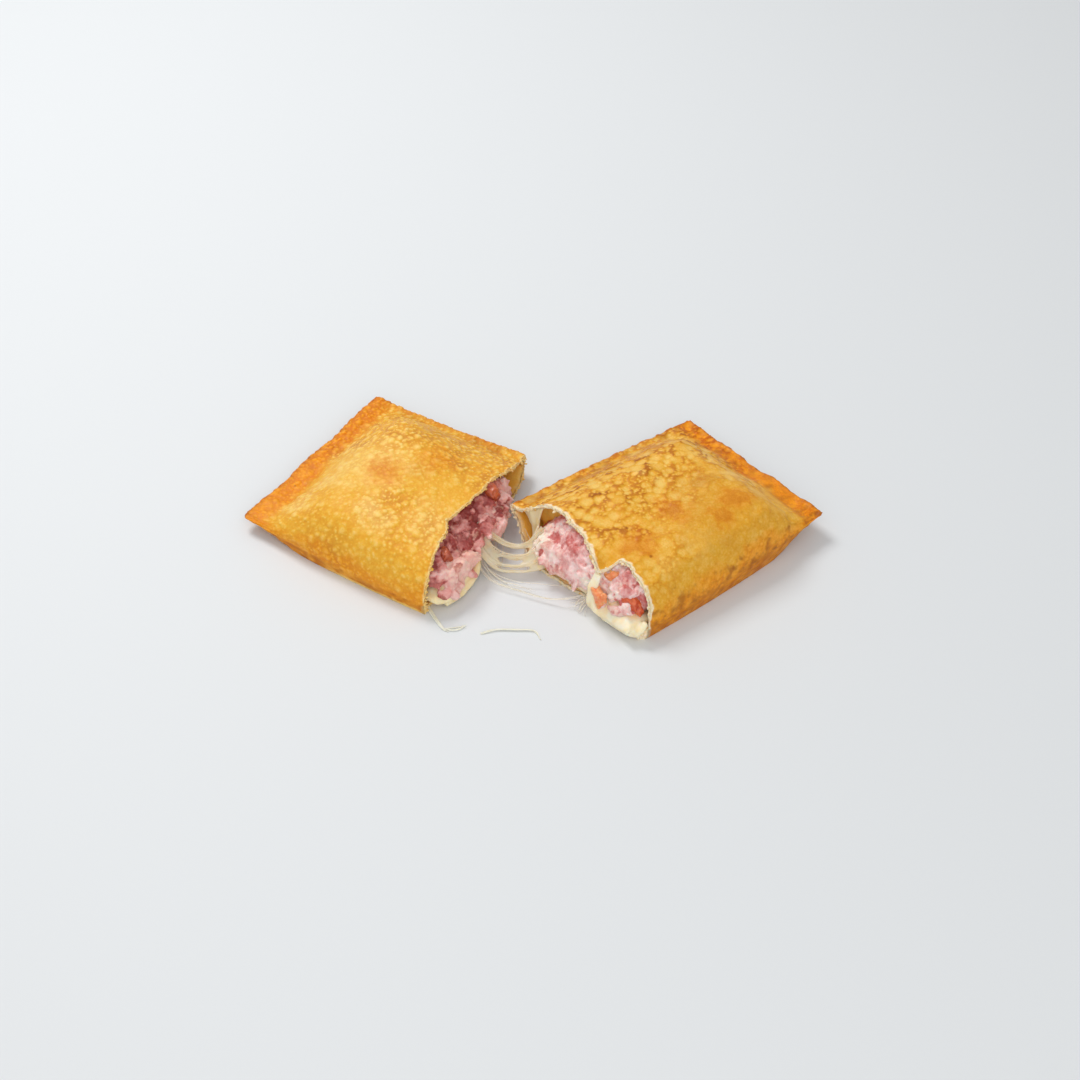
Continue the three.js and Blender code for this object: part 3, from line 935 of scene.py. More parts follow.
@dataclass(frozen=True, kw_only=True)
class Finish:
    """A finish: the values that are the same all over it, and its fine relief.

    The grain is that relief's scale and the strength of its cells, and relief is its depth
    in metres.
    """

    name: str
    roughness: float = 0.6
    coat: float = 0.0
    subsurface: float = 0.0
    specular: float = 0.5
    alpha: float = 1.0
    scatter: Triple = (1.0, 0.4, 0.2)
    scatter_scale: float = 0.001
    relief: float = 0.0001
    grain: Pair = (1000.0, 0.5)

    COAT_ROUGHNESS = 0.2

    def start(self) -> tuple[Material, Tree]:
        """Start the material with the values that are the same all over it.

        Returns:
            The material and its tree.
        """
        material = bpy.data.materials.new(self.name)
        material.use_nodes = True
        tree = Tree(material.node_tree)
        tree.shade("Roughness", self.roughness)
        tree.shade("Coat Weight", self.coat)
        tree.shade("Coat Roughness", self.COAT_ROUGHNESS)
        tree.shade("Subsurface Weight", self.subsurface)
        tree.shade("Subsurface Radius", self.scatter)
        tree.shade("Subsurface Scale", self.scatter_scale)
        tree.shade("Specular IOR Level", self.specular)
        tree.shade("Alpha", self.alpha)
        return material, tree

    def wire(self, tree: Tree) -> None:
        """Wire what varies over the finish. A plain finish wires nothing."""

    def material(self) -> Material:
        """Build the material, or give it back if it is made already.

        Returns:
            The finish's material.
        """
        if self.name in bpy.data.materials:
            return bpy.data.materials[self.name]
        material, tree = self.start()
        self.wire(tree)
        height = tree.shared(grain(), *self.grain)
        bump = tree.node("ShaderNodeBump", Height=height, Distance=self.relief)
        tree.shade("Normal", bump.outputs["Normal"])
        return material


@dataclass(frozen=True, kw_only=True)
class CrustFinish(Finish):
    """Fried dough: golden bubbles, lighter on top and deeper between them, partly as painted highlight
    and shade, and pale where it is torn.
    """

    valley: Colour
    body: Colour
    crest: Colour
    amber_deep: Colour
    amber: Colour
    brown: Colour
    crumb: Colour
    crumb_shade: Colour
    # The inside colours are painted brighter and more golden than the dough's own: painted light for the
    # light that shines through the thin dough into the mouths.
    inner: Colour = linear(244, 174, 56)
    inner_light: Colour = linear(254, 204, 98)
    roughness: float = 0.38
    specular: float = 0.2
    subsurface: float = 0.2
    scatter: Triple = (1.0, 0.55, 0.25)
    scatter_scale: float = 0.0012
    relief: float = 0.00014
    grain: Pair = (1300.0, 0.6)

    def wire(self, tree: Tree) -> None:
        """Wire the colour and the roughness.

        Args:
            tree: The material's tree.
        """
        patches = tree.shared(mottle(), 90.0, 2.4)
        speckle = tree.shared(mottle(), 950.0, 2.2)
        jitter = tree.math("MULTIPLY", tree.math("SUBTRACT", speckle, 0.5), 0.4)
        # The bubble caps are painted lighter and the hollows between them deeper: partly the fried
        # colour, partly painted highlight and shade. The pale patches and the orange rims follow the same
        # value.
        lit = tree.math("ADD", tree.value("blister"), jitter)
        fried = tree.blend(tree.span(lit, 0.0, 0.45), self.valley, self.body)
        fried = tree.blend(tree.span(lit, 0.5, 1.1), fried, self.crest)
        fried = tree.blend(tree.math("MULTIPLY", patches, 0.25), fried, self.body)
        pale = tree.math("MULTIPLY", tree.value("pale"), tree.span(lit, -0.3, 0.6))
        fried = tree.blend(pale, fried, self.crest)
        rim = tree.blend(tree.span(lit, 0.1, 0.9), self.amber_deep, self.amber)
        fried = tree.blend(tree.value("amber"), fried, rim)
        fried = tree.blend(tree.value("baked"), fried, self.brown)
        # The inside faces take these brightened colours: painted light over the inside's own colour.
        inside = tree.blend(patches, self.inner, self.inner_light)
        fried = tree.blend(tree.value("within"), fried, inside)
        bread = tree.blend(tree.span(speckle, 0.1, 0.7), self.crumb_shade, self.crumb)
        tree.shade("Base Color", tree.blend(tree.value("bare"), fried, bread))
        smooth, dull = self.roughness - 0.06, self.roughness + 0.16
        rough = tree.node("ShaderNodeMapRange", Value=speckle, To_Min=smooth, To_Max=dull)
        tree.shade("Roughness", rough.outputs["Result"])


@dataclass(frozen=True, kw_only=True)
class HamFinish(Finish):
    """Moist shredded ham: pink shreds that differ in tone, with painted shade and light worked into that
    tone, and cheese melted over some.
    """

    # deep is the ham's darker red, and also the colour of the painted shade in the gaps and under the
    # dough.
    deep: Colour
    pink: Colour
    pale: Colour
    cheese: Colour
    roughness: float = 0.5
    coat: float = 0.04
    subsurface: float = 0.6
    scatter: Triple = (1.0, 0.66, 0.58)
    scatter_scale: float = 0.003
    relief: float = 0.00013
    grain: Pair = (900.0, 0.6)

    def wire(self, tree: Tree) -> None:
        """Wire the colour.

        Args:
            tree: The material's tree.
        """
        streaks = tree.shared(mottle(), 650.0, 3.0)
        jitter = tree.math("MULTIPLY", tree.math("SUBTRACT", streaks, 0.5), 0.26)
        tone = tree.math("ADD", tree.value("tone"), jitter)
        meat = tree.blend(tree.span(tone, 0.0, 0.5), self.deep, self.pink)
        meat = tree.blend(tree.span(tone, 0.45, 1.05), meat, self.pale)
        melted = tree.span(tree.math("ADD", tree.value("melted"), jitter), 0.1, 1.0)
        tree.shade("Base Color", tree.blend(melted, meat, self.cheese))


@dataclass(frozen=True, kw_only=True)
class MottledFinish(Finish):
    """Two colours in soft patches of a given scale and contrast."""

    main: Colour
    patch: Colour
    patches: Pair

    def wire(self, tree: Tree) -> None:
        """Wire the colour."""
        tree.shade("Base Color", tree.blend(tree.shared(mottle(), *self.patches), self.main, self.patch))


@dataclass(frozen=True, kw_only=True)
class CheeseFinish(MottledFinish):
    """Melted cheese: smooth and creamy, a little deeper in colour in patches."""

    patches: Pair = (260.0, 2.2)
    roughness: float = 0.4
    subsurface: float = 0.5
    scatter: Triple = (1.0, 0.85, 0.6)
    scatter_scale: float = 0.002
    grain: Pair = (500.0, 0.3)


@dataclass(frozen=True, kw_only=True)
class TomatoFinish(MottledFinish):
    """Cooked tomato: moist flesh, red to orange."""

    patches: Pair = (330.0, 3.0)
    roughness: float = 0.38
    coat: float = 0.2
    subsurface: float = 0.4
    scatter_scale: float = 0.002
    relief: float = 0.00008
    grain: Pair = (700.0, 0.4)


LEFT_CRUST = CrustFinish(
    name="golden_crust",
    valley=linear(232, 158, 42),
    body=linear(239, 181, 58),
    crest=linear(253, 219, 132),
    amber_deep=linear(228, 128, 0),
    amber=linear(248, 162, 0),
    brown=linear(172, 90, 20),
    crumb=linear(255, 222, 152),
    crumb_shade=linear(248, 190, 96),
)
RIGHT_CRUST = CrustFinish(
    name="toasted_crust",
    valley=linear(212, 132, 26),
    body=linear(232, 170, 48),
    crest=linear(250, 208, 114),
    amber_deep=linear(214, 108, 0),
    amber=linear(252, 162, 4),
    brown=linear(160, 86, 18),
    crumb=linear(255, 240, 208),
    crumb_shade=linear(254, 218, 160),
)
# The left ham is painted darker, partly as painted shade, because its mouth lies in shade.
LEFT_HAM = HamFinish(
    name="shaded_pink_ham",
    deep=linear(156, 60, 54),
    pink=linear(224, 146, 138),
    pale=linear(246, 200, 192),
    cheese=linear(250, 228, 190),
)
# The right ham is painted paler, partly as painted light where the light falls on its face, and partly
# from the cheese that veils it.
RIGHT_HAM = HamFinish(
    name="lit_pale_ham",
    deep=linear(204, 106, 100),
    pink=linear(254, 212, 208),
    pale=linear(255, 238, 232),
    cheese=linear(255, 242, 220),
)
BED_CHEESE = CheeseFinish(
    name="melted_cheese",
    main=linear(255, 241, 206),
    patch=linear(255, 217, 150),
    coat=0.1,
    relief=0.00008,
)
LIP_CHEESE = replace(
    BED_CHEESE, name="creamy_cheese", main=linear(255, 246, 224), patch=linear(255, 226, 174)
)
WEB_CHEESE = CheeseFinish(
    name="stretched_cheese",
    main=linear(255, 243, 216),
    patch=linear(255, 226, 182),
    roughness=0.36,
    coat=0.1,
    subsurface=0.6,
    relief=0.00005,
    alpha=0.58,
)
DRAWN_CHEESE = CheeseFinish(
    name="drawn_cheese",
    main=linear(255, 240, 208),
    patch=linear(255, 222, 160),
    subsurface=0.6,
    relief=0.00005,
    alpha=0.85,
)
FINE_CHEESE = CheeseFinish(
    name="fine_cheese",
    main=linear(255, 250, 234),
    patch=linear(255, 242, 216),
    subsurface=0.4,
    scatter_scale=0.001,
    relief=0.00003,
    alpha=0.5,
)
GOLDEN_CHEESE = CheeseFinish(
    name="golden_cheese", main=linear(255, 206, 104), patch=linear(248, 168, 52)
)
DRY_CHEESE = CheeseFinish(
    name="dry_cheese",
    main=linear(255, 252, 236),
    patch=linear(246, 242, 216),
    roughness=0.5,
    subsurface=0.3,
    scatter_scale=0.001,
    relief=0.00003,
)
DARK_TOMATO = TomatoFinish(name="baked_tomato", main=linear(150, 50, 26), patch=linear(206, 104, 62))
RED_TOMATO = TomatoFinish(name="cooked_tomato", main=linear(190, 54, 18), patch=linear(234, 128, 76))
PALE_TOMATO = TomatoFinish(name="pale_tomato", main=linear(236, 120, 60), patch=linear(250, 184, 126))


class Tint(Enum):
    """What a mark does to the fried colour. The values are the painted names."""

    BROWN = "baked"
    AMBER = "amber"
    PALE = "pale"


@dataclass(frozen=True)
class BubbleKind:
    """One size of bubble in the fried dough. A low power makes flat tops."""

    spacing: float
    radius: Pair
    height: float
    power: float = 0.75


@dataclass(frozen=True)
class Mark:
    """A soft spot on the upper sheet, by distance from the sealed end and share across."""

    x: float
    v: float
    radius: float
    strength: float


@dataclass(frozen=True)
class FryPattern:
    """How one half's upper sheet has fried.

    Crisp is how strongly the bubbles stand out, crisp_back how much more they do towards
    the back, and crisp_start the share across where that starts. Toasted is the brown
    between bubbles, amber_reach how far the orange of the rim comes in, ridge how high the
    fold inside the rim is, rim_brown how dark the rim's blotches are, and hem how pale the
    lower sheet is where it rests. The front is how much darker the folded edge is painted
    low down, towards the floor: how high that reaches, how strong it is, and how much of
    that is left near the tear. Bare is the width of the torn crumb, and how much that varies.
    """

    kinds: tuple[BubbleKind, ...]
    crisp: float
    crisp_back: float
    crisp_start: float
    toasted: float
    amber_reach: float
    ridge: float
    front: Triple
    rim_brown: float
    hem: float
    bare: Pair
    marks: dict[Tint, tuple[Mark, ...]]


class FryMap:
    """The fried relief and browning of an upper sheet, as rasters over it.

    x runs from the sealed end to the mouth, and y over the sheet from the front. Height is
    the relief, and cap how far up a bubble each place is.
    """

    SEED = 5
    PITCH = 0.2
    BORDER = 1.0  # how far the rasters reach past the sealed end and the sides
    PAST_MOUTH = 8.0

    def __init__(self, half: Half, pattern: FryPattern) -> None:
        """Work the rasters out.

        Args:
            half: The half whose sheet it is.
            pattern: How it has fried.
        """
        self.half = half
        self.pattern = pattern
        self.noise = Noise(half.seed + self.SEED)
        xs = np.arange(-self.BORDER, half.length + self.PAST_MOUTH, self.PITCH)
        ys = np.arange(-self.BORDER, half.girth + self.BORDER, self.PITCH)
        self.x, self.y = np.meshgrid(xs, ys, indexing="ij")
        self.crisp = self.crispness()
        self.height = np.zeros(self.x.shape)
        self.cap = np.zeros(self.x.shape)
        self.bubbles()
        self.height = self.height * self.crisp + self.fold()
        self.tints = {
            Tint.AMBER: self.amber_mask(),
            Tint.BROWN: self.brown_mask(),
            Tint.PALE: np.zeros(self.x.shape),
        }
        self.add_marks()

    def uneven(self, size: float, octaves: int = 2, shift: float = 0.0) -> Array:
        """Noise over the sheet in lumps of a size, from another place if shifted."""
        return self.noise.plane(self.x + shift, self.y, size, octaves)

    def crispness(self) -> Array:
        """Work out how strongly the bubbles stand out, stronger towards the back.

        Returns:
            The share of their height that bubbles have at each place.
        """
        patches = self.uneven(20.0)
        back = ease((self.y / self.half.girth - self.pattern.crisp_start + 0.1 * patches) / 0.4)
        crisp = self.pattern.crisp + self.pattern.crisp_back * back + 0.3 * patches
        return np.clip(crisp, 0.15, 1.2)

    def bubbles(self) -> None:
        """Press every bubble into the rasters, which keep whatever stands highest."""
        random = default_rng(self.half.seed)
        warped = self.x + 0.5 * self.uneven(2.2), self.y + 0.5 * self.uneven(2.2, shift=60)
        for kind in self.pattern.kinds:
            for cx in np.arange(0, self.half.length + self.PAST_MOUTH, kind.spacing):
                for cy in np.arange(0, self.half.girth, kind.spacing):
                    spot = np.array((cx, cy)) + random.uniform(-0.55, 0.55, 2) * kind.spacing
                    low, high = kind.radius
                    radius = low + (high - low) * random.random() ** 2
                    self.press(warped, spot, radius, kind, random.uniform(0.5, 1.15))

    def press(
        self, warped: tuple[Array, Array], spot: Array, radius: float, kind: BubbleKind, rise: float
    ) -> None:
        """Press one bubble.

        Args:
            warped: The rasters' x and y, warped so that bubbles are uneven.
            spot: The bubble's middle.
            radius: Its radius.
            kind: The kind of bubble.
            rise: Its share of that kind's height.
        """
        reach = int((radius + 1.2) / self.PITCH) + 1
        i, j = ((spot + self.BORDER) / self.PITCH).astype(int)
        window = slice(max(i - reach, 0), max(i + reach, 0)), slice(max(j - reach, 0), max(j + reach, 0))
        away = (warped[0][window] - spot[0]) ** 2 + (warped[1][window] - spot[1]) ** 2
        if not away.size:
            return
        share = clamp(1.0 - away / radius**2)
        dome_height = kind.height * rise * share**kind.power
        higher = dome_height > self.height[window]
        self.height[window][higher] = dome_height[higher]
        self.cap[window][higher] = (share ** (1.6 * kind.power) * (0.4 + 0.6 * rise))[higher]

    def fold(self) -> Array:
        """The wrinkled ridge inside the crimped rim."""
        ridge = bell((self.x - self.half.end_rim - 8 - 2.5 * self.uneven(12.0)) / 1.6)
        return self.pattern.ridge * ridge * clamp(0.6 + self.uneven(6.0, 3))

    def amber_mask(self) -> Array:
        """Work out the orange of the thin crimped rims, strongest along the sealed end.

        Returns:
            How orange each place is.
        """
        wobble = 4.0 * self.uneven(8.0, 3)
        end = 0.9 * ease((self.pattern.amber_reach + wobble - self.x) / 10.0)
        back = 0.45 * ease((6.0 + wobble - (self.half.girth - self.y)) / 6.0)
        front = 0.6 * ease((11.0 + wobble - self.y) / 9.0)
        near_tear = 0.05 * ease((self.x - self.half.length + 24 + 2 * wobble) / 20)
        return clamp(np.max([end, front, back, near_tear], axis=0))

    def brown_mask(self) -> Array:
        """Work out the browning between crisp bubbles, along the outer edges and in the crease.

        Returns:
            How brown each place is.
        """
        between = clamp(1.0 - self.cap / 0.5) * clamp(self.crisp - 0.5)
        patches = clamp(0.35 + 0.9 * self.uneven(7.0, 3, 30))
        edge = np.minimum(self.x, self.half.girth - self.y)
        beads = self.uneven(1.8)
        line = 0.85 * ease((1.8 + 1.2 * beads - edge) / 1.7)
        glow = 0.3 * ease((4.5 + 2.0 * beads - edge) / 4.0)
        inner_reach = ease((self.half.end_rim + 4 - edge) / 5.0)
        blotches = self.pattern.rim_brown * clamp(0.15 + self.uneven(4.5, 3, 11)) * inner_reach
        return clamp(np.max([self.pattern.toasted * between * patches, line, glow, blotches], axis=0))

    def add_marks(self) -> None:
        """Paint each mark into its tint."""
        wobble = 0.4 * self.uneven(5.5) + 0.3 * self.uneven(1.6, 1)
        for tint, marks in self.pattern.marks.items():
            for mark in marks:
                away = np.hypot(self.x - mark.x, self.y - self.half.over(mark.v))
                spot = mark.strength * ease(1.2 - 0.9 * away / mark.radius + wobble)
                self.tints[tint] = np.maximum(self.tints[tint], spot)

    def read(self, raster: Array, x: Array, y: Array) -> Array:
        """Read a raster between its points.

        Args:
            raster: One of this map's rasters.
            x: Distances from the sealed end.
            y: Distances over the sheet from the front.

        Returns:
            The raster's value at each place.
        """
        i = np.clip((x + self.BORDER) / self.PITCH, 0, raster.shape[0] - 1.001)
        j = np.clip((y + self.BORDER) / self.PITCH, 0, raster.shape[1] - 1.001)
        a, b = i.astype(int), j.astype(int)
        s, t = i - a, j - b
        low = mix(raster[a, b], raster[a, b + 1], t)
        high = mix(raster[a + 1, b], raster[a + 1, b + 1], t)
        return mix(low, high, s)


LEFT_FRY = FryPattern(
    kinds=(
        BubbleKind(3.1, (0.8, 1.7), 0.5, 0.62),
        BubbleKind(2.0, (0.45, 0.8), 0.2),
        BubbleKind(7.5, (1.5, 2.5), 0.75, 0.6),
    ),
    crisp=0.6,
    crisp_back=0.4,
    crisp_start=0.35,
    toasted=0.9,
    amber_reach=17.0,
    ridge=0.0,
    front=(4.6, 0.5, 0.4),
    rim_brown=0.3,
    hem=0.8,
    bare=(0.2, 0.3),
    marks={
        Tint.BROWN: (
            Mark(7.4, 0.277, 0.8, 1.0), Mark(48, 0.42, 8, 0.16), Mark(63, 0.52, 9, 0.1),
            Mark(65, 0.96, 6, 0.4), Mark(78, 0.94, 6, 0.45), Mark(50, 0.82, 9, 0.25),
        ),
        Tint.AMBER: (Mark(49, 0.41, 9, 0.7), Mark(66, 0.62, 11, 0.5)),
        Tint.PALE: (
            Mark(40, 0.45, 22, 0.5), Mark(59, 0.17, 9, 0.6), Mark(26, 0.29, 8, 0.5),
            Mark(17, 0.57, 8, 0.4), Mark(82, 0.27, 13, 0.45), Mark(5.7, 0.12, 2, 0.6),
            Mark(20, 0.13, 9, 0.5),
        ),
    },
)
RIGHT_FRY = FryPattern(
    kinds=(
        BubbleKind(3.2, (1.0, 2.4), 0.55, 0.5),
        BubbleKind(1.9, (0.5, 1.0), 0.22),
        BubbleKind(7.5, (2.2, 4.2), 0.75, 0.4),
    ),
    crisp=0.32,
    crisp_back=0.85,
    crisp_start=0.24,
    toasted=1.35,
    amber_reach=16.0,
    ridge=0.7,
    front=(12.0, 0.88, 0.8),
    rim_brown=0.6,
    hem=0.0,
    bare=(1.3, 1.0),
    marks={
        Tint.BROWN: (
            Mark(37.5, 0.219, 6.5, 0.34), Mark(48.9, 0.166, 5, 0.36), Mark(64.4, 0.347, 6.5, 0.38),
            Mark(88.1, 0.289, 8, 0.26), Mark(42, 0.41, 10, 0.32), Mark(50, 0.24, 24, 0.17),
            Mark(86, 0.389, 0.9, 1.0), Mark(88.1, 0.189, 0.6, 0.8), Mark(81.9, 0.142, 0.6, 0.8),
            Mark(40, 0.8, 12, 0.3), Mark(66, 0.86, 9, 0.25),
        ),
        Tint.AMBER: (
            Mark(37.5, 0.219, 8, 0.65), Mark(48.9, 0.166, 6, 0.65), Mark(64.4, 0.347, 8, 0.7),
            Mark(88.1, 0.289, 9, 0.7),
        ),
        Tint.PALE: (
            Mark(28, 0.36, 6, 0.5), Mark(28.5, 0.57, 6, 0.5), Mark(55.9, 0.53, 3, 0.8),
            Mark(59.5, 0.63, 3.2, 0.8), Mark(66, 0.12, 9, 0.25), Mark(84, 0.12, 6, 0.3),
        ),
    },
)


@dataclass
class Piece:
    """One piece of the food, in its finish.

    Each kind of piece shapes its own draft, and what is the same for all is done here. The
    names are the piece's own and then the CAD nodes' that it replaces.
    """

    finish: Finish
    draft: Draft = field(default_factory=Draft, init=False)

    SLOT = "cheese"
    NAMES = ("",)

    def shape(self) -> None:
        """Shape the piece into its draft."""
        raise NotImplementedError

    def build(self) -> Object:
        """Build and dress the piece, and seat it on the body.

        Returns:
            The finished piece.
        """
        name, *nodes = (text.format(self) for text in self.NAMES)
        self.shape()
        piece = self.draft.build(name)
        piece.data.materials.append(self.finish.material())
        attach(piece, BODY)
        if nodes:
            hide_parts(*nodes)
        return piece


@dataclass
class DoughHalf(Piece):
    """The dough of one half: two sheets joined at the fold and the crimped rims."""

    half: Half
    pattern: FryPattern
    rows: int = 232
    columns: int = 268
    lower_rows: int = 50
    inner_rows: int = 16
    edge_rows: int = 5
    corner: float = 1.8
    crumbs: int = 230

    SLOT = "crust"
    NAMES = ("dough_{0.half.name}", "crust_{0.half.name}")
    CRUMB_SEED = 41

    @cached_property
    def fry(self) -> FryMap:
        """The upper sheet's fried relief and browning."""
        return FryMap(self.half, self.pattern)

    def spread(self) -> Array:
        """Values of v that lie evenly over the upper sheet."""
        return self.half.across(np.linspace(0, self.half.girth, self.columns + 1))

    def rim_wobble(self, x: Array, y: Array) -> Array:
        """Work out small ins and outs of the crimped rims' outer edges.

        Args:
            x: Distances from the sealed end.
            y: Distances over the sheet from the front.

        Returns:
            How far each point moves.
        """
        half = self.half
        beads = 0.45 * self.fry.noise.plane(x, y, 3.2, 2)
        at_end = ease(1 - x / 3) * ease(y / 4)
        at_back = ease(1 - (half.girth - y) / 3)
        away = (at_end * beads)[..., None] * -half.mouthward()
        return away + (at_back * beads)[..., None] * half.backward()

    def corner_shift(self, u: Array, v: Array) -> Array:
        """Work out how far to draw points in so that the sealed end has rounded corners.

        Args:
            u: Shares of the length.
            v: Shares across.

        Returns:
            How far each point moves.
        """
        half = self.half
        from_end = clamp(1 - u * half.length / self.corner)
        front = clamp(1 - v * half.width / self.corner)
        back = clamp(1 - (1 - v) * half.width / self.corner)
        inward = 0.29 * self.corner * from_end * (front + back)
        across = 0.29 * self.corner * from_end * (front - back)
        return inward[..., None] * half.mouthward() + across[..., None] * half.backward()

    def upper(self) -> Array:
        """Add the upper sheet with its bubbles.

        Returns:
            The grid of point numbers, from the sealed end to the torn edge.
        """
        half, fry = self.half, self.fry
        s = np.linspace(0, 1, self.rows + 1)
        v = self.spread()
        tear = half.tear(v, True)
        u = s[:, None] * tear[None, :]
        v = np.broadcast_to(v, u.shape)
        x, y = u * half.length, half.over(v)
        points = half.outer_top(u, v)
        edge = np.minimum(np.minimum(x, y), half.girth - y)
        from_tear = (tear[None, :] - u) * half.length
        relief = fry.read(fry.height, x, y) * ease(edge / 1.6 + 0.35)
        relief = relief + 0.5 * fry.noise.plane(x, y, 14.0, 2) * ease(edge / 8)
        pillow = bell((x - half.end_rim * 0.5) / 4.0) * 0.6
        groove = bell((x - half.end_rim - 2.0) / 2.4) * 0.45
        relief = relief + (pillow - groove) * ease(edge / 3)
        relief = relief - 0.35 * ease(1 - from_tear / 1.2)
        points = points + relief[..., None] * grid_normals(points) + self.rim_wobble(x, y)
        points = above(points + self.corner_shift(u, v), 0.05)
        # The folded edge is painted darker towards its bottom, low down by the floor, through the brown
        # value.
        reach, strength, left = self.pattern.front
        low = 1.2 - points[..., 2] / reach + 0.7 * fry.noise.layered(points, 3.0)
        low = strength * ease(low) * ease((18 - y) / 8) * mix(1.0, left, ease((x - 45) / 25))
        width, vary = self.pattern.bare
        ragged = width + vary * fry.noise.plane(x, y, 2.6, 2)
        paint = {tint.value: fry.read(raster, x, y) for tint, raster in fry.tints.items()}
        paint["baked"] = np.maximum(paint["baked"], low)
        # blister: lighter on the bubble caps and deeper in the hollows, partly the fried colour and
        # partly painted highlight and shade.
        paint["blister"] = mix(0.55, fry.read(fry.cap, x, y), clamp(fry.read(fry.crisp, x, y)))
        paint["bare"] = ease(1.0 - (from_tear - ragged) / 0.6)
        ids = self.draft.add(points, **paint)
        self.draft.sheet(ids)
        return ids

    def lower(self, top: Array) -> Array:
        """Add the lower sheet under the upper one.

        Args:
            top: The upper sheet's point numbers.

        Returns:
            The point numbers of the lower sheet's torn edge, seams included.
        """
        half, noise = self.half, self.fry.noise
        s = np.linspace(0, 1, self.lower_rows + 1)[1:]
        v = self.spread()[1:-1]
        tear = half.tear(v, False)
        u = s[:, None] * tear[None, :]
        v = np.broadcast_to(v, u.shape)
        x, y = u * half.length, v * half.width
        patch = clamp(0.5 + 0.5 * noise.plane(x, y, 8.0))
        points = half.outer_bottom(u, v)
        rough = 0.3 * noise.at(points, 2.2) + 0.2 * noise.at(points, 1.1)
        points = points - (rough * ease(points[..., 2] / 0.6))[..., None] * grid_normals(points)
        points = points + self.corner_shift(u, v)
        hem = self.pattern.hem * ease(1.5 - points[..., 2] / 1.3 + 2.0 * rough) * ease((x - 40) / 12)
        # On the lower sheet the blister value rises over its small bumps: partly the fried colour, partly
        # painted highlight on them.
        ids = self.draft.add(
            points,
            blister=clamp(0.3 + 0.4 * patch + 1.2 * rough) + hem,
            baked=clamp(0.25 + 0.3 * patch - rough) * (1 - hem),
            amber=0.7 * (1 - hem),
            pale=hem,
            bare=ease(1.0 - ((tear - u) * half.length - 0.6) / 0.8),
        )
        grid = np.concatenate([top[:1, 1:-1], ids])
        self.draft.sheet(grid, flip=True)
        self.draft.zip(top[:, 0], grid[:, 0], flip=True)
        self.draft.zip(top[:, -1], grid[:, -1])
        return np.concatenate([top[-1:, 0], ids[-1], top[-1:, -1]])

    def inner(self) -> tuple[Array, Array]:
        """Add the inner faces, which show at the mouth.

        Returns:
            The point numbers of the upper and the lower inner edge at the mouth.
        """
        half = self.half
        end, front, back = half.cavity()
        s = np.linspace(0, 1, self.inner_rows + 1)
        s = (1 - (1 - s) ** 1.7)[:, None]
        v = mix(front, back, self.spread())
        sheets = []
        for top, face in ((True, half.inner_top), (False, half.inner_bottom)):
            u = mix(end, half.tear(v, top)[None, :], s)
            across = np.broadcast_to(v, u.shape)
            points = face(u, across)
            bumps = 0.4 * self.fry.noise.plane(u * half.length, across * half.width + 40, 2.2, 2)
            points[..., 2] += (bumps + (0.35 if top else 0.0)) * half.inner_rounding(u, across)
            sheets.append(points)
        upper, lower = sheets
        near = np.broadcast_to(ease(1 - (s[-1] - s) * 50), upper.shape[:2])
        top_ids = self.draft.add(upper, bare=near, blister=0.5, within=1.0)
        low_ids = top_ids.copy()
        low_ids[1:, 1:-1] = self.draft.add(
            lower[1:, 1:-1], bare=near[1:, 1:-1], blister=0.5, within=1.0
        )
        self.draft.sheet(top_ids, flip=True)
        self.draft.sheet(low_ids)
        return top_ids[-1], low_ids[-1]

    def torn_edge(self, outer: Array, inner: Array) -> Array:
        """Fill the torn section between the outer and inner rings with rough crumb.

        Args:
            outer: Point numbers round the outer faces' torn edge.
            inner: Point numbers round the inner faces' torn edge.

        Returns:
            The points midway through the dough.
        """
        points = np.concatenate(self.draft.points)
        start, stop = points[outer], points[inner]
        rings = [outer]
        for k in range(1, self.edge_rows):
            share = k / self.edge_rows
            ring = mix(start, stop, share)
            lumps = 0.5 * self.fry.noise.at(ring, 0.9) + 0.5 * self.fry.noise.at(ring, 2.4)
            out = (0.3 + lumps) * math.sin(math.pi * share) ** 0.6
            ring = above(ring + out[:, None] * self.half.mouthward(), 0.02)
            rings.append(self.draft.add(ring, bare=1.0, blister=0.5))
        rings.append(inner)
        for first, second in zip(rings, rings[1:]):
            loop = np.stack([np.append(first, first[0]), np.append(second, second[0])])
            self.draft.sheet(loop, flip=True)
        return mix(start, stop, 0.5)

    def fringe(self, ring: Array) -> None:
        """Hang crumbs and thin flakes on the torn edge.

        Args:
            ring: Points round the torn edge.
        """
        random = default_rng(self.half.seed + self.CRUMB_SEED)
        shape, faces = sphere(1)
        for k in random.integers(0, len(ring), self.crumbs):
            size = random.uniform(0.18, 0.62) * (1 if random.random() < 0.85 else 1.5)
            uneven = 1 + 0.35 * random.uniform(-1, 1, (len(shape), 1))
            stretch = (size * random.uniform(1, 1.8), size, size * random.uniform(0.3, 0.7))
            lump = shape * uneven * stretch @ turned(random, self.half.mouthward(), 0.8)
            lump = above(lump + ring[k] + random.normal(0, 0.35, 3), 0.03)
            self.draft.lump(lump, faces, bare=1.0 if random.random() < 0.85 else 0.3, blister=0.6)

    def shape(self) -> None:
        """Shape the dough: its sheets, its inner faces and its torn edge."""
        top = self.upper()
        lower_edge = self.lower(top)
        inner_top, inner_low = self.inner()
        outer_ring = np.concatenate([top[-1], lower_edge[-2:0:-1]])
        inner_ring = np.concatenate([inner_top, inner_low[-2:0:-1]])
        self.fringe(self.torn_edge(outer_ring, inner_ring))


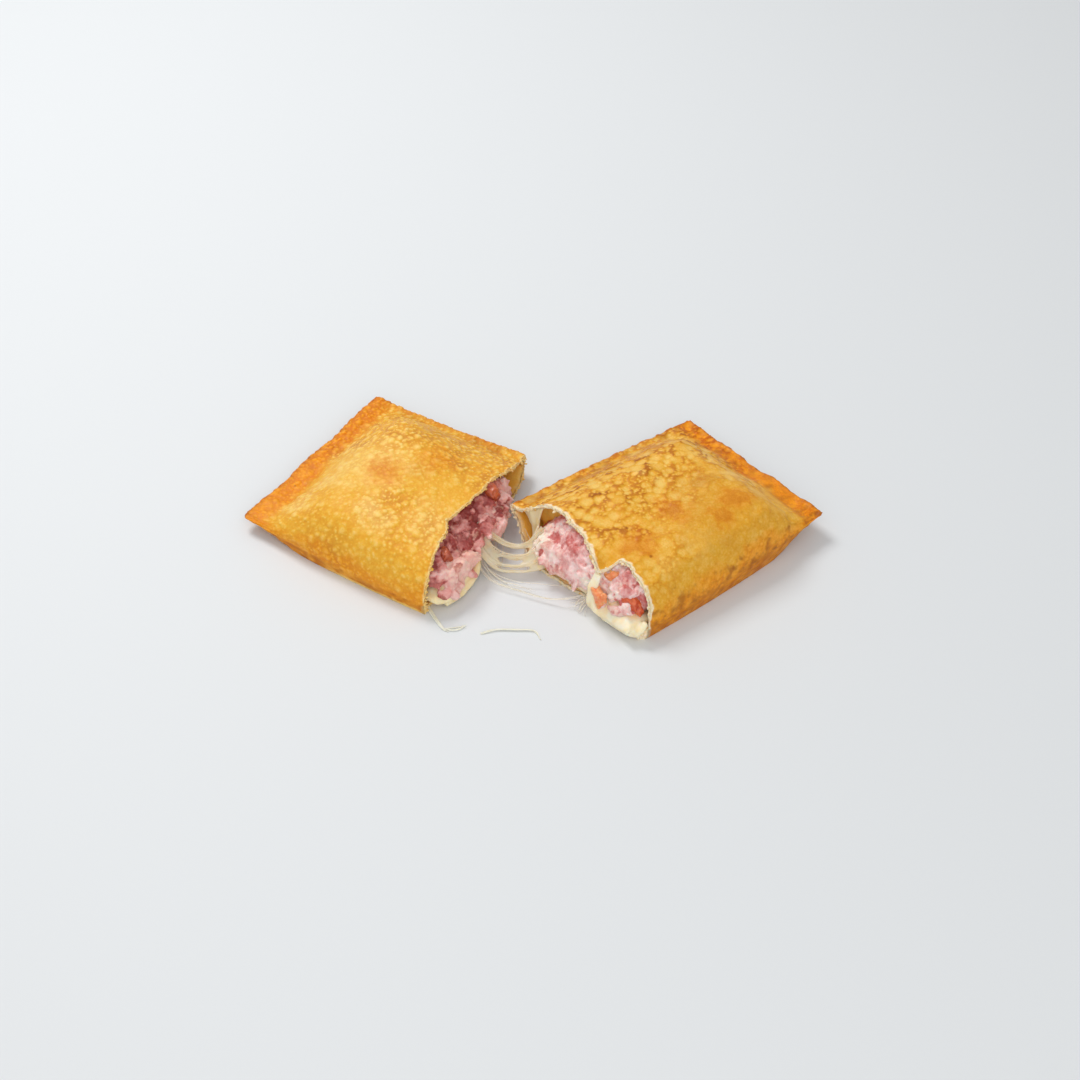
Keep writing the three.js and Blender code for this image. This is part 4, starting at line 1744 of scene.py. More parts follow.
@dataclass(frozen=True)
class Skin:
    """A filling's faces: over its top and down its mouth, and its underside."""

    over: Array
    under: Array

    def normals(self) -> Array:
        """Outward normals of the upper face."""
        return grid_normals(self.over)

    def room(self, depth: float) -> Array:
        """Work out how freely the upper face may move.

        Args:
            depth: The thickness from which on it moves freely.

        Returns:
            1 where the filling is that thick, and less where it is thinner.
        """
        rows = len(self.under)
        thick = clamp((self.over[:rows, :, 2] - self.under[..., 2]) / depth)
        mouth = np.repeat(thick[-1:], len(self.over) - rows, axis=0)
        return np.concatenate([thick, mouth])

    def add_to(self, draft: Draft, **paint: Array) -> None:
        """Add the closed skin.

        Args:
            draft: The mesh under way.
            **paint: Values for the points over it.
        """
        ids = draft.add(self.over, **paint)
        rows = len(self.under)
        below = draft.add(self.under[:, 1:-1])
        grid = np.concatenate([ids[:rows, :1], below, ids[:rows, -1:]], axis=1)
        draft.sheet(ids)
        draft.sheet(grid, flip=True)
        draft.zip(ids[0], grid[0])
        draft.zip(grid[-1], ids[-1])
        for column, flip in ((0, False), (-1, True)):
            wall = np.append(ids[rows - 1 :, column], grid[-1, column])
            draft.zip(wall, wall[[0, -1]], flip)


@dataclass(frozen=True)
class Layer:
    """The reach of one filling past the mouth line, and the steps of its skin."""

    inset: float
    reach: tuple[float, ...]
    bulge: tuple[float, ...]
    rows: int
    columns: int
    levels: int

    def places(self, half: Half) -> tuple[Array, Array]:
        """Place the grid.

        Args:
            half: The half that it fills.

        Returns:
            The grid's u and v.
        """
        end, front, back = half.cavity()
        first = end + self.inset / half.length
        s = 1 - (1 - np.linspace(0, 1, self.rows + 1)) ** 1.8
        t = np.linspace(0, 1, self.columns + 1)
        v = mix(front + self.inset / half.width, back - self.inset / half.width, t)
        u = mix(first, 1 + along(self.reach, v)[None, :] / half.length, s[:, None])
        return u, np.broadcast_to(v, u.shape)

    def skin(self, half: Half, low: Array, high: Array) -> Skin:
        """Shape the skin between two heights.

        Args:
            half: The half that it fills.
            low: The underside's height at each place.
            high: The top's height at each place.

        Returns:
            The skin.
        """
        u, v = self.places(half)
        low = np.minimum(low, high - SLIT)
        seam = mix(low, high, 0.4)
        rounding = half.inner_rounding(u, v, self.inset)
        top, under = half.middle(u, v), half.middle(u, v)
        top[..., 2] = mix(seam, high, rounding)
        under[..., 2] = mix(seam, low, rounding)
        face = []
        for k in range(1, self.levels):
            share = 1 - k / self.levels
            out = along(self.bulge, v[-1]) * math.sin(math.pi * share**0.8)
            face.append(mix(under[-1], top[-1], share) + out[:, None] * half.mouthward())
        return Skin(np.concatenate([top, np.array(face)]), under)


def sphere(detail: int) -> tuple[Array, Array]:
    """Make a unit sphere of even triangles.

    Args:
        detail: 0 for 20 triangles, and each step more has four times as many.

    Returns:
        Its points and its triangles.
    """
    golden = (1 + 5**0.5) / 2
    points = [
        (-1, golden, 0), (1, golden, 0), (-1, -golden, 0), (1, -golden, 0),
        (0, -1, golden), (0, 1, golden), (0, -1, -golden), (0, 1, -golden),
        (golden, 0, -1), (golden, 0, 1), (-golden, 0, -1), (-golden, 0, 1),
    ]
    faces = [
        (0, 11, 5), (0, 5, 1), (0, 1, 7), (0, 7, 10), (0, 10, 11), (1, 5, 9), (5, 11, 4),
        (11, 10, 2), (10, 7, 6), (7, 1, 8), (3, 9, 4), (3, 4, 2), (3, 2, 6), (3, 6, 8),
        (3, 8, 9), (4, 9, 5), (2, 4, 11), (6, 2, 10), (8, 6, 7), (9, 8, 1),
    ]
    points = [unit(np.array(p, float)) for p in points]
    for _ in range(detail):
        halves: dict[tuple[int, int], int] = {}
        finer = []
        for a, b, c in faces:
            mids = []
            for pair in ((a, b), (b, c), (c, a)):
                key = (min(pair), max(pair))
                if key not in halves:
                    halves[key] = len(points)
                    points.append(unit(points[key[0]] + points[key[1]]))
                mids.append(halves[key])
            ab, bc, ca = mids
            finer += [(a, ab, ca), (b, bc, ab), (c, ca, bc), (ab, bc, ca)]
        faces = finer
    return np.array(points), np.array(faces)


def turned(random: Generator, normal: Array, tilt: float) -> Array:
    """Draw axes for a lump that lies along a face.

    Args:
        random: The stream to draw from.
        normal: The face's normal.
        tilt: How far the lump may lean out of the face, from 0 to 1.

    Returns:
        Three unit rows: the lump's length, width and thickness.
    """
    up = unit(normal + tilt * random.normal(size=3))
    onward = unit(np.cross(up, random.normal(size=3)))
    return np.stack([onward, np.cross(up, onward), up])


@dataclass(frozen=True)
class ShredSize:
    """One size of ham shred.

    Thin is its thickness as a share of its width, detail how finely it is divided, and
    depth how far its middle may lie from the face.
    """

    count: int
    length: Pair
    width: Pair
    thin: float
    detail: int
    depth: float


@dataclass(frozen=True)
class Slab:
    """One broad shred that stands out.

    Its place is its shares across and down the ham's face, its turn is in degrees from
    level, and lift is how far its middle stands off the face.
    """

    v: float
    down: float
    size: Triple
    turn: float
    tone: float
    melted: float = 0.0
    lift: float = 1.5


@dataclass(frozen=True)
class Veil:
    """A part of the mouth where cheese coats the ham: v, height, reach and strength."""

    v: float
    height: float
    reach: float
    strength: float


@dataclass(frozen=True)
class Run:
    """A broad run of melted cheese over a mouth's face, drawn as lines side by side.

    Each knot is v, height, distance out past the mouth line and half of the run's width.
    """

    radius: float
    lines: int
    knots: tuple[tuple[float, float, float, float], ...]


@dataclass
class CheeseBed(Piece):
    """The melted cheese under the ham, with its lip at the mouth and the runs over it."""

    half: Half
    runs: tuple[Run, ...] = ()
    rows: int = 60
    columns: int = 220
    levels: int = 24
    steps: int = 40
    voxel: float = 0.62
    rounds: int = 5

    NAMES = ("melted_cheese_{0.half.name}", "cheese_{0.half.name}")
    SKIN_SEED = 13
    RUN_SEED = 71
    WANDER_SEED = 72

    def skin(self) -> Skin:
        """Shape the sheet's skin, uneven over its top and its lip.

        Returns:
            The skin.
        """
        half = self.half
        steps = self.rows, self.columns, self.levels
        layer = Layer(SEAM_INSET, half.cheese_reach, half.cheese_bulge, *steps)
        u, v = layer.places(half)
        low = half.inner_bottom(u, v, CHEESE_CLEARANCE)[..., 2]
        high = np.minimum(half.bed_top(u, v), half.inner_top(u, v, CHEESE_CLEARANCE)[..., 2])
        skin = layer.skin(half, low, high)
        noise = Noise(half.seed + self.SKIN_SEED)
        relief = (0.5 * noise.at(skin.over, 6.0) + 0.12 * noise.at(skin.over, 2.4)) * skin.room(3.0)
        relief[-1] = 0
        return Skin(above(skin.over + relief[..., None] * skin.normals(), 0.05), skin.under)

    def add_run(self, run: Run, random: Generator, noise: Noise) -> None:
        """Add a run as side-by-side lines that swell and wander.

        Args:
            run: The run.
            random: The stream to draw from.
            noise: The runs' relief.
        """
        knots = np.array([self.half.at_mouth(*knot[:3]) for knot in run.knots])
        path = smooth_path(knots, self.steps)
        places = np.linspace(0, 1, len(run.knots))
        spread = np.interp(np.linspace(0, 1, self.steps), places, [knot[3] for knot in run.knots])
        for side in np.linspace(-1, 1, run.lines):
            line = path + (side * spread)[:, None] * self.half.backward()
            line = line + random.normal(0, 0.18, 3)
            line = line + 0.4 * noise.at(line, 4.0)[:, None] * self.half.mouthward()
            line = above(line, run.radius)
            self.draft.tube(line, run.radius * (0.9 + 0.3 * noise.at(line, 4.0)))

    def shape(self) -> None:
        """Shape the cheese, its sheet and its runs in one skin."""
        self.skin().add_to(self.draft)
        random = default_rng(self.half.seed + self.RUN_SEED)
        noise = Noise(self.half.seed + self.WANDER_SEED)
        for run in self.runs:
            self.add_run(run, random, noise)
        self.draft, _ = self.draft.fused(self.voxel, self.rounds)


@dataclass
class HamFilling(Piece):
    """Shredded ham: a core painted dark, as painted shade in the gaps, under many shreds that show at the
    mouth.

    The cover is the span of v that shreds lie in, and the rest of the core is coated with
    cheese, as strongly as coat says. Shreds also lie on the cheese's lip: the drape is the
    height above which they do and how densely. Tone is how pale the shreds are and vary by
    how much that differs; tone is partly painted light and shade, low on the left, whose
    mouth lies in shade, and high on the right, where the light falls on the ham. The shade
    under the dough is painted shade: how much darker the ham is painted high up, where the
    upper sheet shades it.
    """

    half: Half
    sizes: tuple[ShredSize, ...]
    slabs: tuple[Slab, ...]
    cover: Pair
    drape: Pair
    veils: tuple[Veil, ...]
    tone: float
    vary: float
    under_dough_shade: float
    coat: float

    SLOT = "ham"
    NAMES = ("shredded_ham_{0.half.name}", "ham_{0.half.name}")
    NOISE_SEED = 9
    SHRED_SEED = 31
    ROWS = 90
    COLUMNS = 130
    LEVELS = 26
    SHOWN = 64  # the first of the core's rows that shreds lie on
    LIP_SHOWN = 60  # the same for the cheese's rows
    VOXEL = 0.52
    SEEN = 26.0  # how far behind the mouth line the ham is painted
    NEAREST = 5  # how many of the lumps' points a point takes its colour from
    # Painted shade: from this height up the ham is painted darker, where the upper sheet shades it.
    UNDER_DOUGH_SHADE_FROM = 13.0  # the height at which the dough above starts to darken it

    @cached_property
    def noise(self) -> Noise:
        """The ham's relief."""
        return Noise(self.half.seed + self.NOISE_SEED)

    def core(self) -> Skin:
        """Add the core, uneven where it shows.

        Returns:
            The core's skin.
        """
        half = self.half
        steps = self.ROWS, self.COLUMNS, self.LEVELS
        layer = Layer(HAM_INSET, half.ham_reach, (HAM_BULGE, HAM_BULGE), *steps)
        u, v = layer.places(half)
        skin = layer.skin(half, half.bed_top(u, v) + HAM_CLEARANCE, half.ham_top(u, v))
        relief = 0.9 * self.noise.at(skin.over, 5.0) + 0.7 * self.noise.at(skin.over, 2.4) - 0.7
        relief[: self.ROWS] *= ease((u[: self.ROWS] - 0.55) / 0.3)
        relief = relief * skin.room(5.0)
        skin = Skin(skin.over + relief[..., None] * skin.normals(), skin.under)
        low, high = self.cover
        outside = np.maximum(low - v[0], v[0] - high)
        coated = np.broadcast_to(self.coat * ease(outside / 0.05), relief.shape)
        # The core is painted dark, a little lighter where its relief stands out: painted shade that shows
        # in the gaps between the shreds.
        skin.add_to(self.draft, tone=clamp(0.1 + 0.25 * relief), melted=coated)
        return skin

    def ground(self, skin: Skin) -> tuple[Array, Array, Array]:
        """Gather the places that shreds may lie on.

        Args:
            skin: The core's skin.

        Returns:
            Points, their normals, and the share of the shreds that each draws.
        """
        places, facing, share = [], [], []
        bed = CheeseBed(BED_CHEESE, self.half).skin()
        floor, dense = self.drape
        for face, first, low, part in (
            (skin, self.SHOWN, 0.0, 1.0),
            (bed, self.LIP_SHOWN, floor, dense),
        ):
            area = np.cross(np.gradient(face.over, axis=0), np.gradient(face.over, axis=1))
            area = np.linalg.norm(area, axis=-1)
            across = np.linspace(0, 1, face.over.shape[1])
            inside = (across > self.cover[0]) & (across < self.cover[1])
            weight = part * area * inside * (face.over[..., 2] > low)
            places.append(face.over[first:].reshape(-1, 3))
            facing.append(face.normals()[first:].reshape(-1, 3))
            share.append(weight[first:].ravel())
        share = np.concatenate(share)
        return np.concatenate(places), np.concatenate(facing), share / share.sum()

    def veiled(self, point: Array, veil: Veil) -> float:
        """How strongly a veil of cheese coats the ham at a point."""
        away = np.linalg.norm(point - self.half.at_mouth(veil.v, veil.height, 3.0))
        return veil.strength * bell(away / veil.reach)

    def shreds(self, skin: Skin) -> None:
        """Lay shreds over the ham that shows, and then the slabs.

        Args:
            skin: The core's skin.
        """
        random = default_rng(self.half.seed + self.SHRED_SEED)
        places, facing, share = self.ground(skin)
        for size in self.sizes:
            shape, faces = sphere(size.detail)
            for k in random.choice(len(places), size.count, p=share):
                centre = places[k] + facing[k] * size.depth * random.uniform(-0.9, 1.0)
                width = random.uniform(*size.width)
                sizes = (random.uniform(*size.length), width, width * size.thin)
                points = centre + self.shred(shape, sizes, random) @ turned(random, facing[k], 0.45)
                melted = sum(self.veiled(centre, veil) for veil in self.veils) + random.normal(0, 0.12)
                tone = clamp(self.tone + random.normal(0, self.vary))
                self.draft.lump(above(points, 1.0), faces, tone=tone, melted=clamp(melted))
        shape, faces = sphere(4)
        shown, normals = skin.over[self.SHOWN :], skin.normals()[self.SHOWN :]
        for slab in self.slabs:
            i, j = round(slab.down * (len(shown) - 1)), round(slab.v * (shown.shape[1] - 1))
            normal = normals[i, j]
            level = unit(np.cross((0, 0, 1), normal))
            turn = math.radians(slab.turn)
            onward = math.cos(turn) * level + math.sin(turn) * np.cross(normal, level)
            axes = np.stack([onward, np.cross(normal, onward), normal])
            points = shown[i, j] + slab.lift * normal + self.shred(shape, slab.size, random) @ axes
            self.draft.lump(above(points, 2.0), faces, tone=slab.tone, melted=slab.melted)

    def shred(self, shape: Array, sizes: tuple[float, ...], random: Generator) -> Array:
        """Shape one shred about its own middle.

        Args:
            shape: Points of a unit sphere.
            sizes: The shred's length, width and thickness.
            random: The stream to draw from.

        Returns:
            The shred's points.
        """
        blunt = np.sign(shape) * np.abs(shape) ** 0.88
        uneven = self.noise.at(shape * 2.4 + random.uniform(0, 50), 1.0)
        blunt = blunt * (1 + 0.36 * uneven)[:, None]
        blunt[:, 1] += 0.4 * random.uniform(-1, 1) * blunt[:, 0] ** 2
        return blunt * sizes / 2

    def fuse(self, skin: Skin) -> None:
        """Fuse core and shreds into one skin, and paint it from the lumps nearest to it.

        Args:
            skin: The core's skin.
        """
        lump_tone, lump_melted = self.draft.values("tone"), self.draft.values("melted")
        lumps = planted(np.concatenate(self.draft.points))
        shown = skin.over[self.SHOWN :].reshape(-1, 3)
        facing = skin.normals()[self.SHOWN :].reshape(-1, 3)
        level = planted(shown)
        self.draft, normals = self.draft.fused(self.VOXEL)
        points = self.draft.points[0]
        tone, melted = np.full(len(points), 0.6), np.full(len(points), 0.9)
        from_mouth = (points - self.half.at_mouth(0.5, 0, 0)) @ self.half.mouthward()
        fuzz = 0.3 * self.noise.at(points, 1.6) + 0.16 * self.noise.at(points + 20, 0.9)
        points += (fuzz * ease(from_mouth / 4 + 3))[:, None] * normals
        self.hold_down(points)
        for n in np.flatnonzero(from_mouth > -self.SEEN):
            point = points[n]
            near = [k for _, k, _ in lumps.find_n(point, self.NEAREST)]
            _, k, _ = level.find(point)
            height = (point - shown[k]) @ facing[k]
            # Painted shade and light: points sunk below the face between shreds are painted darker, and
            # shreds that stand out a little lighter.
            shade = np.clip(0.4 * (height - 0.2), -0.6, 0.14)
            # Painted shade: the ham is painted darker high up, under the upper sheet.
            shade -= self.under_dough_shade * ease((point[2] - self.UNDER_DOUGH_SHADE_FROM) / 6.0)
            tone[n] = lump_tone[near].mean() + shade
            melted[n] = lump_melted[near].mean()
        tone = tone + 0.32 * self.noise.layered(points, 8.0, 2)
        self.draft.paint = {"tone": [(0, clamp(tone))], "melted": [(0, clamp(melted))]}

    def hold_down(self, points: Array) -> None:
        """Press points that would stand through the upper sheet down to just under it.

        Args:
            points: The ham's points, which are changed.
        """
        half = self.half
        u, v = np.meshgrid(np.linspace(0.6, 1.06, 160), np.linspace(0, 1, 200), indexing="ij")
        roof = half.inner_top(u, v, 0.3)[u < half.tear(v, True)]
        tree = planted(roof * (1, 1, 0))
        for n, (x, y, z) in enumerate(points):
            _, k, away = tree.find((x, y, 0))
            if away < 0.8:
                points[n, 2] = min(z, roof[k, 2])

    def shape(self) -> None:
        """Shape the ham: its core, the shreds, and one skin over both."""
        skin = self.core()
        self.shreds(skin)
        self.fuse(skin)


@dataclass
class TomatoPiece(Piece):
    """A chunk of cooked tomato in a half's mouth."""

    half: Half
    number: int
    v: float
    height: float
    out: float
    radii: Triple
    turn: float

    SLOT = "tomato"
    SEED = 50
    NAMES = ("tomato_chunk_{0.half.name}_{0.number}", "tomato_{0.half.name}_{0.number}")

    def shape(self) -> None:
        """Shape the chunk, blunt and uneven, turned about two axes."""
        noise = Noise(self.half.seed + self.SEED + self.number)
        shape, faces = sphere(4)
        blunt = np.sign(shape) * np.abs(shape) ** 0.72
        uneven = 0.28 * noise.at(shape * 1.5, 1.0) + 0.1 * noise.at(shape * 4, 1.0)
        points = blunt * (1 + uneven)[:, None] * self.radii
        cos, sin = math.cos(self.turn), math.sin(self.turn)
        points = points @ np.array([[cos, sin, 0], [-sin, cos, 0], [0, 0, 1]])
        cos, sin = math.cos(self.turn / 2), math.sin(self.turn / 2)
        points = points @ np.array([[1, 0, 0], [0, cos, sin], [0, -sin, cos]])
        self.draft.lump(points + self.half.at_mouth(self.v, self.height, self.out), faces)


def smooth_path(path: Array, count: int) -> Array:
    """Read a smooth curve through points.

    Args:
        path: The points that it passes.
        count: How many points to give.

    Returns:
        Evenly spread points of the curve.
    """
    points = np.asarray(path, float)
    padded = np.concatenate([2 * points[:1] - points[1:2], points, 2 * points[-1:] - points[-2:-1]])
    places = np.linspace(0, len(points) - 1, count)
    k = np.minimum(places.astype(int), len(points) - 2)
    t = (places - k)[:, None]
    a, b, c, d = (padded[k + n] for n in range(4))
    bend = (2 * a - 5 * b + 4 * c - d) * t**2 + (3 * b - a - 3 * c + d) * t**3
    return 0.5 * (2 * b + (c - a) * t + bend)


@dataclass(frozen=True)
class Strand:
    """A main strand of cheese, as in the solid, and the fibres that run along it."""

    path: tuple[Triple, ...]
    ends: float
    waist: float
    flat: float
    fibres: int
    spread: float


STRANDS = (
    Strand(
        ((-25.5, -4.5, 14), (-21, -9, 11.5), (-13.9, -12.8, 9), (-6.1, -13.4, 9.5), (2, -9, 14)),
        1.2, 0.5, 3.4, 10, 0.9,
    ),
    Strand(
        ((-28, -8, 14), (-20.5, -14.9, 8.5), (-13, -18.3, 7), (-5.2, -18.1, 8), (3, -14.5, 12)),
        1.4, 0.5, 1.5, 5, 0.7,
    ),
    Strand(
        ((-29, -12, 12), (-20.9, -19.4, 6.2), (-13, -21.9, 5), (-4.3, -21.7, 6), (4.5, -18.5, 10)),
        1.4, 0.55, 1.6, 5, 0.8,
    ),
    Strand(
        ((-29, -14, 10), (-19.5, -22.3, 4.2), (-10.8, -24.2, 3.6), (-2.2, -23.8, 4.4), (6, -22, 7.5)),
        1.1, 0.4, 1.6, 4, 0.7,
    ),
)


@dataclass(frozen=True)
class Hair:
    """A hair-thin strand of cheese in the photograph's frame, and how it frays."""

    radius: float
    fibres: int
    spread: float
    path: tuple[Triple, ...]


HAIRS = (
    Hair(
        0.17, 3, 0.9,
        (
            (-28, -13, 9), (-26, -22, 5), (-20.5, -29.5, 3), (-8.6, -35, 2.2), (6, -40.5, 2.6),
            (21, -42.5, 7),
        ),
    ),
    Hair(0.12, 2, 0.7, ((-29, -13, 10), (-22, -23.5, 4.5), (-12, -29, 2.4), (2, -31, 2.0), (12, -33, 3))),
    Hair(0.16, 3, 1.0, ((-28, -14, 9), (-23, -23, 5), (-17, -29, 2.6), (-10, -31, 2.0), (-3, -33, 1.0))),
    Hair(0.16, 4, 0.9, ((-29, -16, 7), (-24, -21.5, 3.5), (-19, -25, 1.6), (-14, -28.5, 0.4))),
    Hair(0.16, 6, 1.2, ((22, -42, 8), (17.5, -42.5, 4.5), (13, -42.5, 1.6))),
    Hair(0.16, 5, 1.1, ((22, -43, 7), (19, -44.5, 3.5), (17, -46.5, 0.6))),
)
LOOSE = (
    Hair(
        0.42, 3, 0.5,
        (
            (-52.5, -33, 3.2), (-50.4, -37.8, 1.6), (-46.7, -45.7, 0.6), (-41.7, -54.8, 0.4),
            (-39.1, -57.2, 0.4),
        ),
    ),
    Hair(0.3, 3, 0.6, ((-42, -55.5, 0.4), (-37.5, -55.5, 0.4), (-31.5, -53.6, 0.4))),
    Hair(
        0.3, 3, 0.5,
        ((-25.4, -59, 0.4), (-19.1, -56.6, 0.4), (-11, -56.6, 0.4), (-3, -57.2, 0.4), (0.4, -62, 0.4)),
    ),
)


@dataclass
class CheeseWeb(Piece):
    """The melted cheese stretched between the halves.

    Each web between two strands is how many steps in it reaches along them, and how much
    less in its middle. A fan is a half, the strands' end there, the span of v over which
    its fibres spread, how far out they end and how many there are.
    """

    strands: tuple[Strand, ...] = STRANDS
    webs: tuple[Pair, ...] = ((22, 9), (28, 8), (27, 10))
    steps: int = 60
    web_rows: int = 12
    web_columns: int = 24
    web_thickness: float = 0.9
    voxel: float = 0.26
    seed: int = 300

    NAMES = ("cheese_web", "cheese_strands")
    FANS = (
        (LEFT, 0, (0.42, 0.66), 7.0, 22),
        (RIGHT, -1, (0.66, 0.86), 4.5, 16),
    )

    def strand(self, strand: Strand, path: Array, random: Generator) -> None:
        """Add a strand's core and its fibres.

        Args:
            strand: The strand's sizes.
            path: Its centreline.
            random: The stream to draw from.
        """
        t = np.linspace(-1, 1, self.steps)
        self.draft.tube(path, mix(strand.waist, strand.ends, t**4), strand.flat)
        for _ in range(strand.fibres):
            fan = random.normal(0, 2.2, (2, 3)) * (0.6, 0.6, 1.0)
            side = np.where(t[:, None] < 0, fan[:1], fan[1:])
            middle = random.normal(0, strand.spread, 3)
            fibre = path + side * np.abs(t[:, None]) ** 3 + middle * (1 - t[:, None] ** 2)
            self.draft.tube(above(fibre, 0.6), mix(random.uniform(0.16, 0.34), 0.6, t**6), 1.2)

    def webbing(self, paths: list[Array]) -> None:
        """Add the thin webs that join neighbouring strands near both ends.

        Args:
            paths: The main strands' centrelines.
        """
        for (first, second), (edge, dip) in zip(zip(paths, paths[1:]), self.webs):
            for start, step in ((0, 1), (self.steps - 1, -1)):
                rows = []
                for share in np.linspace(0, 1, self.web_rows):
                    reach = edge - dip * math.sin(math.pi * share)
                    index = start + step * (reach * np.linspace(0, 1, self.web_columns))
                    low = np.clip(np.floor(index).astype(int), 0, self.steps - 2)
                    part = (index - low)[:, None]
                    a = mix(first[low], first[low + 1], part)
                    b = mix(second[low], second[low + 1], part)
                    rows.append(mix(a, b, share))
                self.draft.membrane(np.array(rows)[::step], self.web_thickness)

    def fans(self, paths: list[Array], random: Generator) -> None:
        """Fan fine fibres from the strands' ends over both halves' ham.

        Args:
            paths: The main strands' centrelines.
            random: The stream to draw from.
        """
        for half, side, span, out, count in self.FANS:
            for _ in range(count):
                path = paths[random.integers(len(paths))]
                inward = random.integers(6, 24)
                near = path[inward] if side == 0 else path[-1 - inward]
                far = half.at_mouth(random.uniform(*span), random.uniform(4, 15), out)
                bend = mix(near, far, 0.5) + random.normal(0, 0.5, 3) - (0, 0, 0.8)
                line = smooth_path(np.array([near, bend, far]), 16)
                self.draft.tube(line, random.uniform(0.07, 0.15), sides=5)

    def shape(self) -> None:
        """Shape the web: strands and webs in one skin, and loose fibres on it."""
        random = default_rng(self.seed)
        paths = [smooth_path(np.array(strand.path), self.steps) + TO_ROW for strand in self.strands]
        for strand, path in zip(self.strands, paths):
            self.strand(strand, path, random)
        self.webbing(paths)
        self.draft, _ = self.draft.fused(self.voxel)
        self.fans(paths, random)


@dataclass
class CheeseCurtain(Piece):
    """A thin sheet of cheese that hangs from the upper sheet at the back of a mouth.

    Its top lies inside the torn edge and its foot at a height, out past the mouth line.
    Gather is how strongly its sides draw in halfway down.
    """

    half: Half
    name: str
    top_span: Pair
    foot_span: Pair
    inside: float
    foot: float
    out: float
    gather: float
    columns: int = 60
    rows: int = 46
    ribs: int = 12
    thickness: float = 0.7
    voxel: float = 0.26

    NAMES = ("{0.name}",)
    NOISE_SEED = 83
    RIB_SEED = 84

    def shape(self) -> None:
        """Shape the curtain, a sheet with ribs in one skin."""
        half = self.half
        noise = Noise(half.seed + self.NOISE_SEED)
        v = np.linspace(*self.top_span, self.columns)
        u = half.tear(v, True) - self.inside / half.length
        top = half.outer_top(u, v) - (0, 0, 0.8 * DOUGH)
        foot_v = np.linspace(*self.foot_span, self.columns)
        foot = half.middle(np.ones(self.columns), foot_v) + self.out * half.mouthward()
        foot[:, 2] = np.minimum(self.foot + 3.0 * noise.at(foot, 6.0), top[:, 2] - 1.5)
        share = np.linspace(0, 1, self.rows)[:, None, None]
        grid = mix(top[None], foot[None], share**0.9)
        sway = 1.1 * noise.layered(grid, 5.0, 2) * np.sin(math.pi * share[..., 0])
        grid = grid + sway[..., None] * half.mouthward()
        drawn = self.gather * np.sin(math.pi * share) ** 0.8
        grid = mix(grid, grid.mean(axis=1, keepdims=True), drawn)
        self.draft.membrane(grid, self.thickness)
        random = default_rng(half.seed + self.RIB_SEED)
        for k in random.integers(2, self.columns - 3, self.ribs):
            rib = grid[:, k] + random.normal(0, 0.25, 3)
            self.draft.tube(rib, random.uniform(0.2, 0.36), sides=6)
        self.draft, _ = self.draft.fused(self.voxel)


@dataclass
class CheeseThreads(Piece):
    """Fine threads of cheese, drawn from the fillings or lying beside the halves."""

    name: str
    hairs: tuple[Hair, ...]
    seed: int
    steps: int = 44

    NAMES = ("{0.name}",)

    def hair(self, hair: Hair, random: Generator) -> None:
        """Add a hair-thin strand as the fibres that it frays into.

        Args:
            hair: The strand.
            random: The stream to draw from.
        """
        path = smooth_path(np.array(hair.path), self.steps) + TO_ROW
        t = np.linspace(-1, 1, self.steps)[:, None]
        for _ in range(hair.fibres):
            drift = random.normal(0, hair.spread, 3) * (1 - t**2)
            drift = drift + random.normal(0, hair.spread, 3) * t**3
            fibre = path + drift * (1, 1, 0.4)
            radius = hair.radius * random.uniform(0.5, 1.1)
            thinning = 1 - 0.6 * np.abs(t[:, 0]) ** 3
            self.draft.tube(above(fibre, radius + 0.02), radius * thinning, sides=6)

    def shape(self) -> None:
        """Shape the threads."""
        random = default_rng(self.seed)
        for hair in self.hairs:
            self.hair(hair, random)


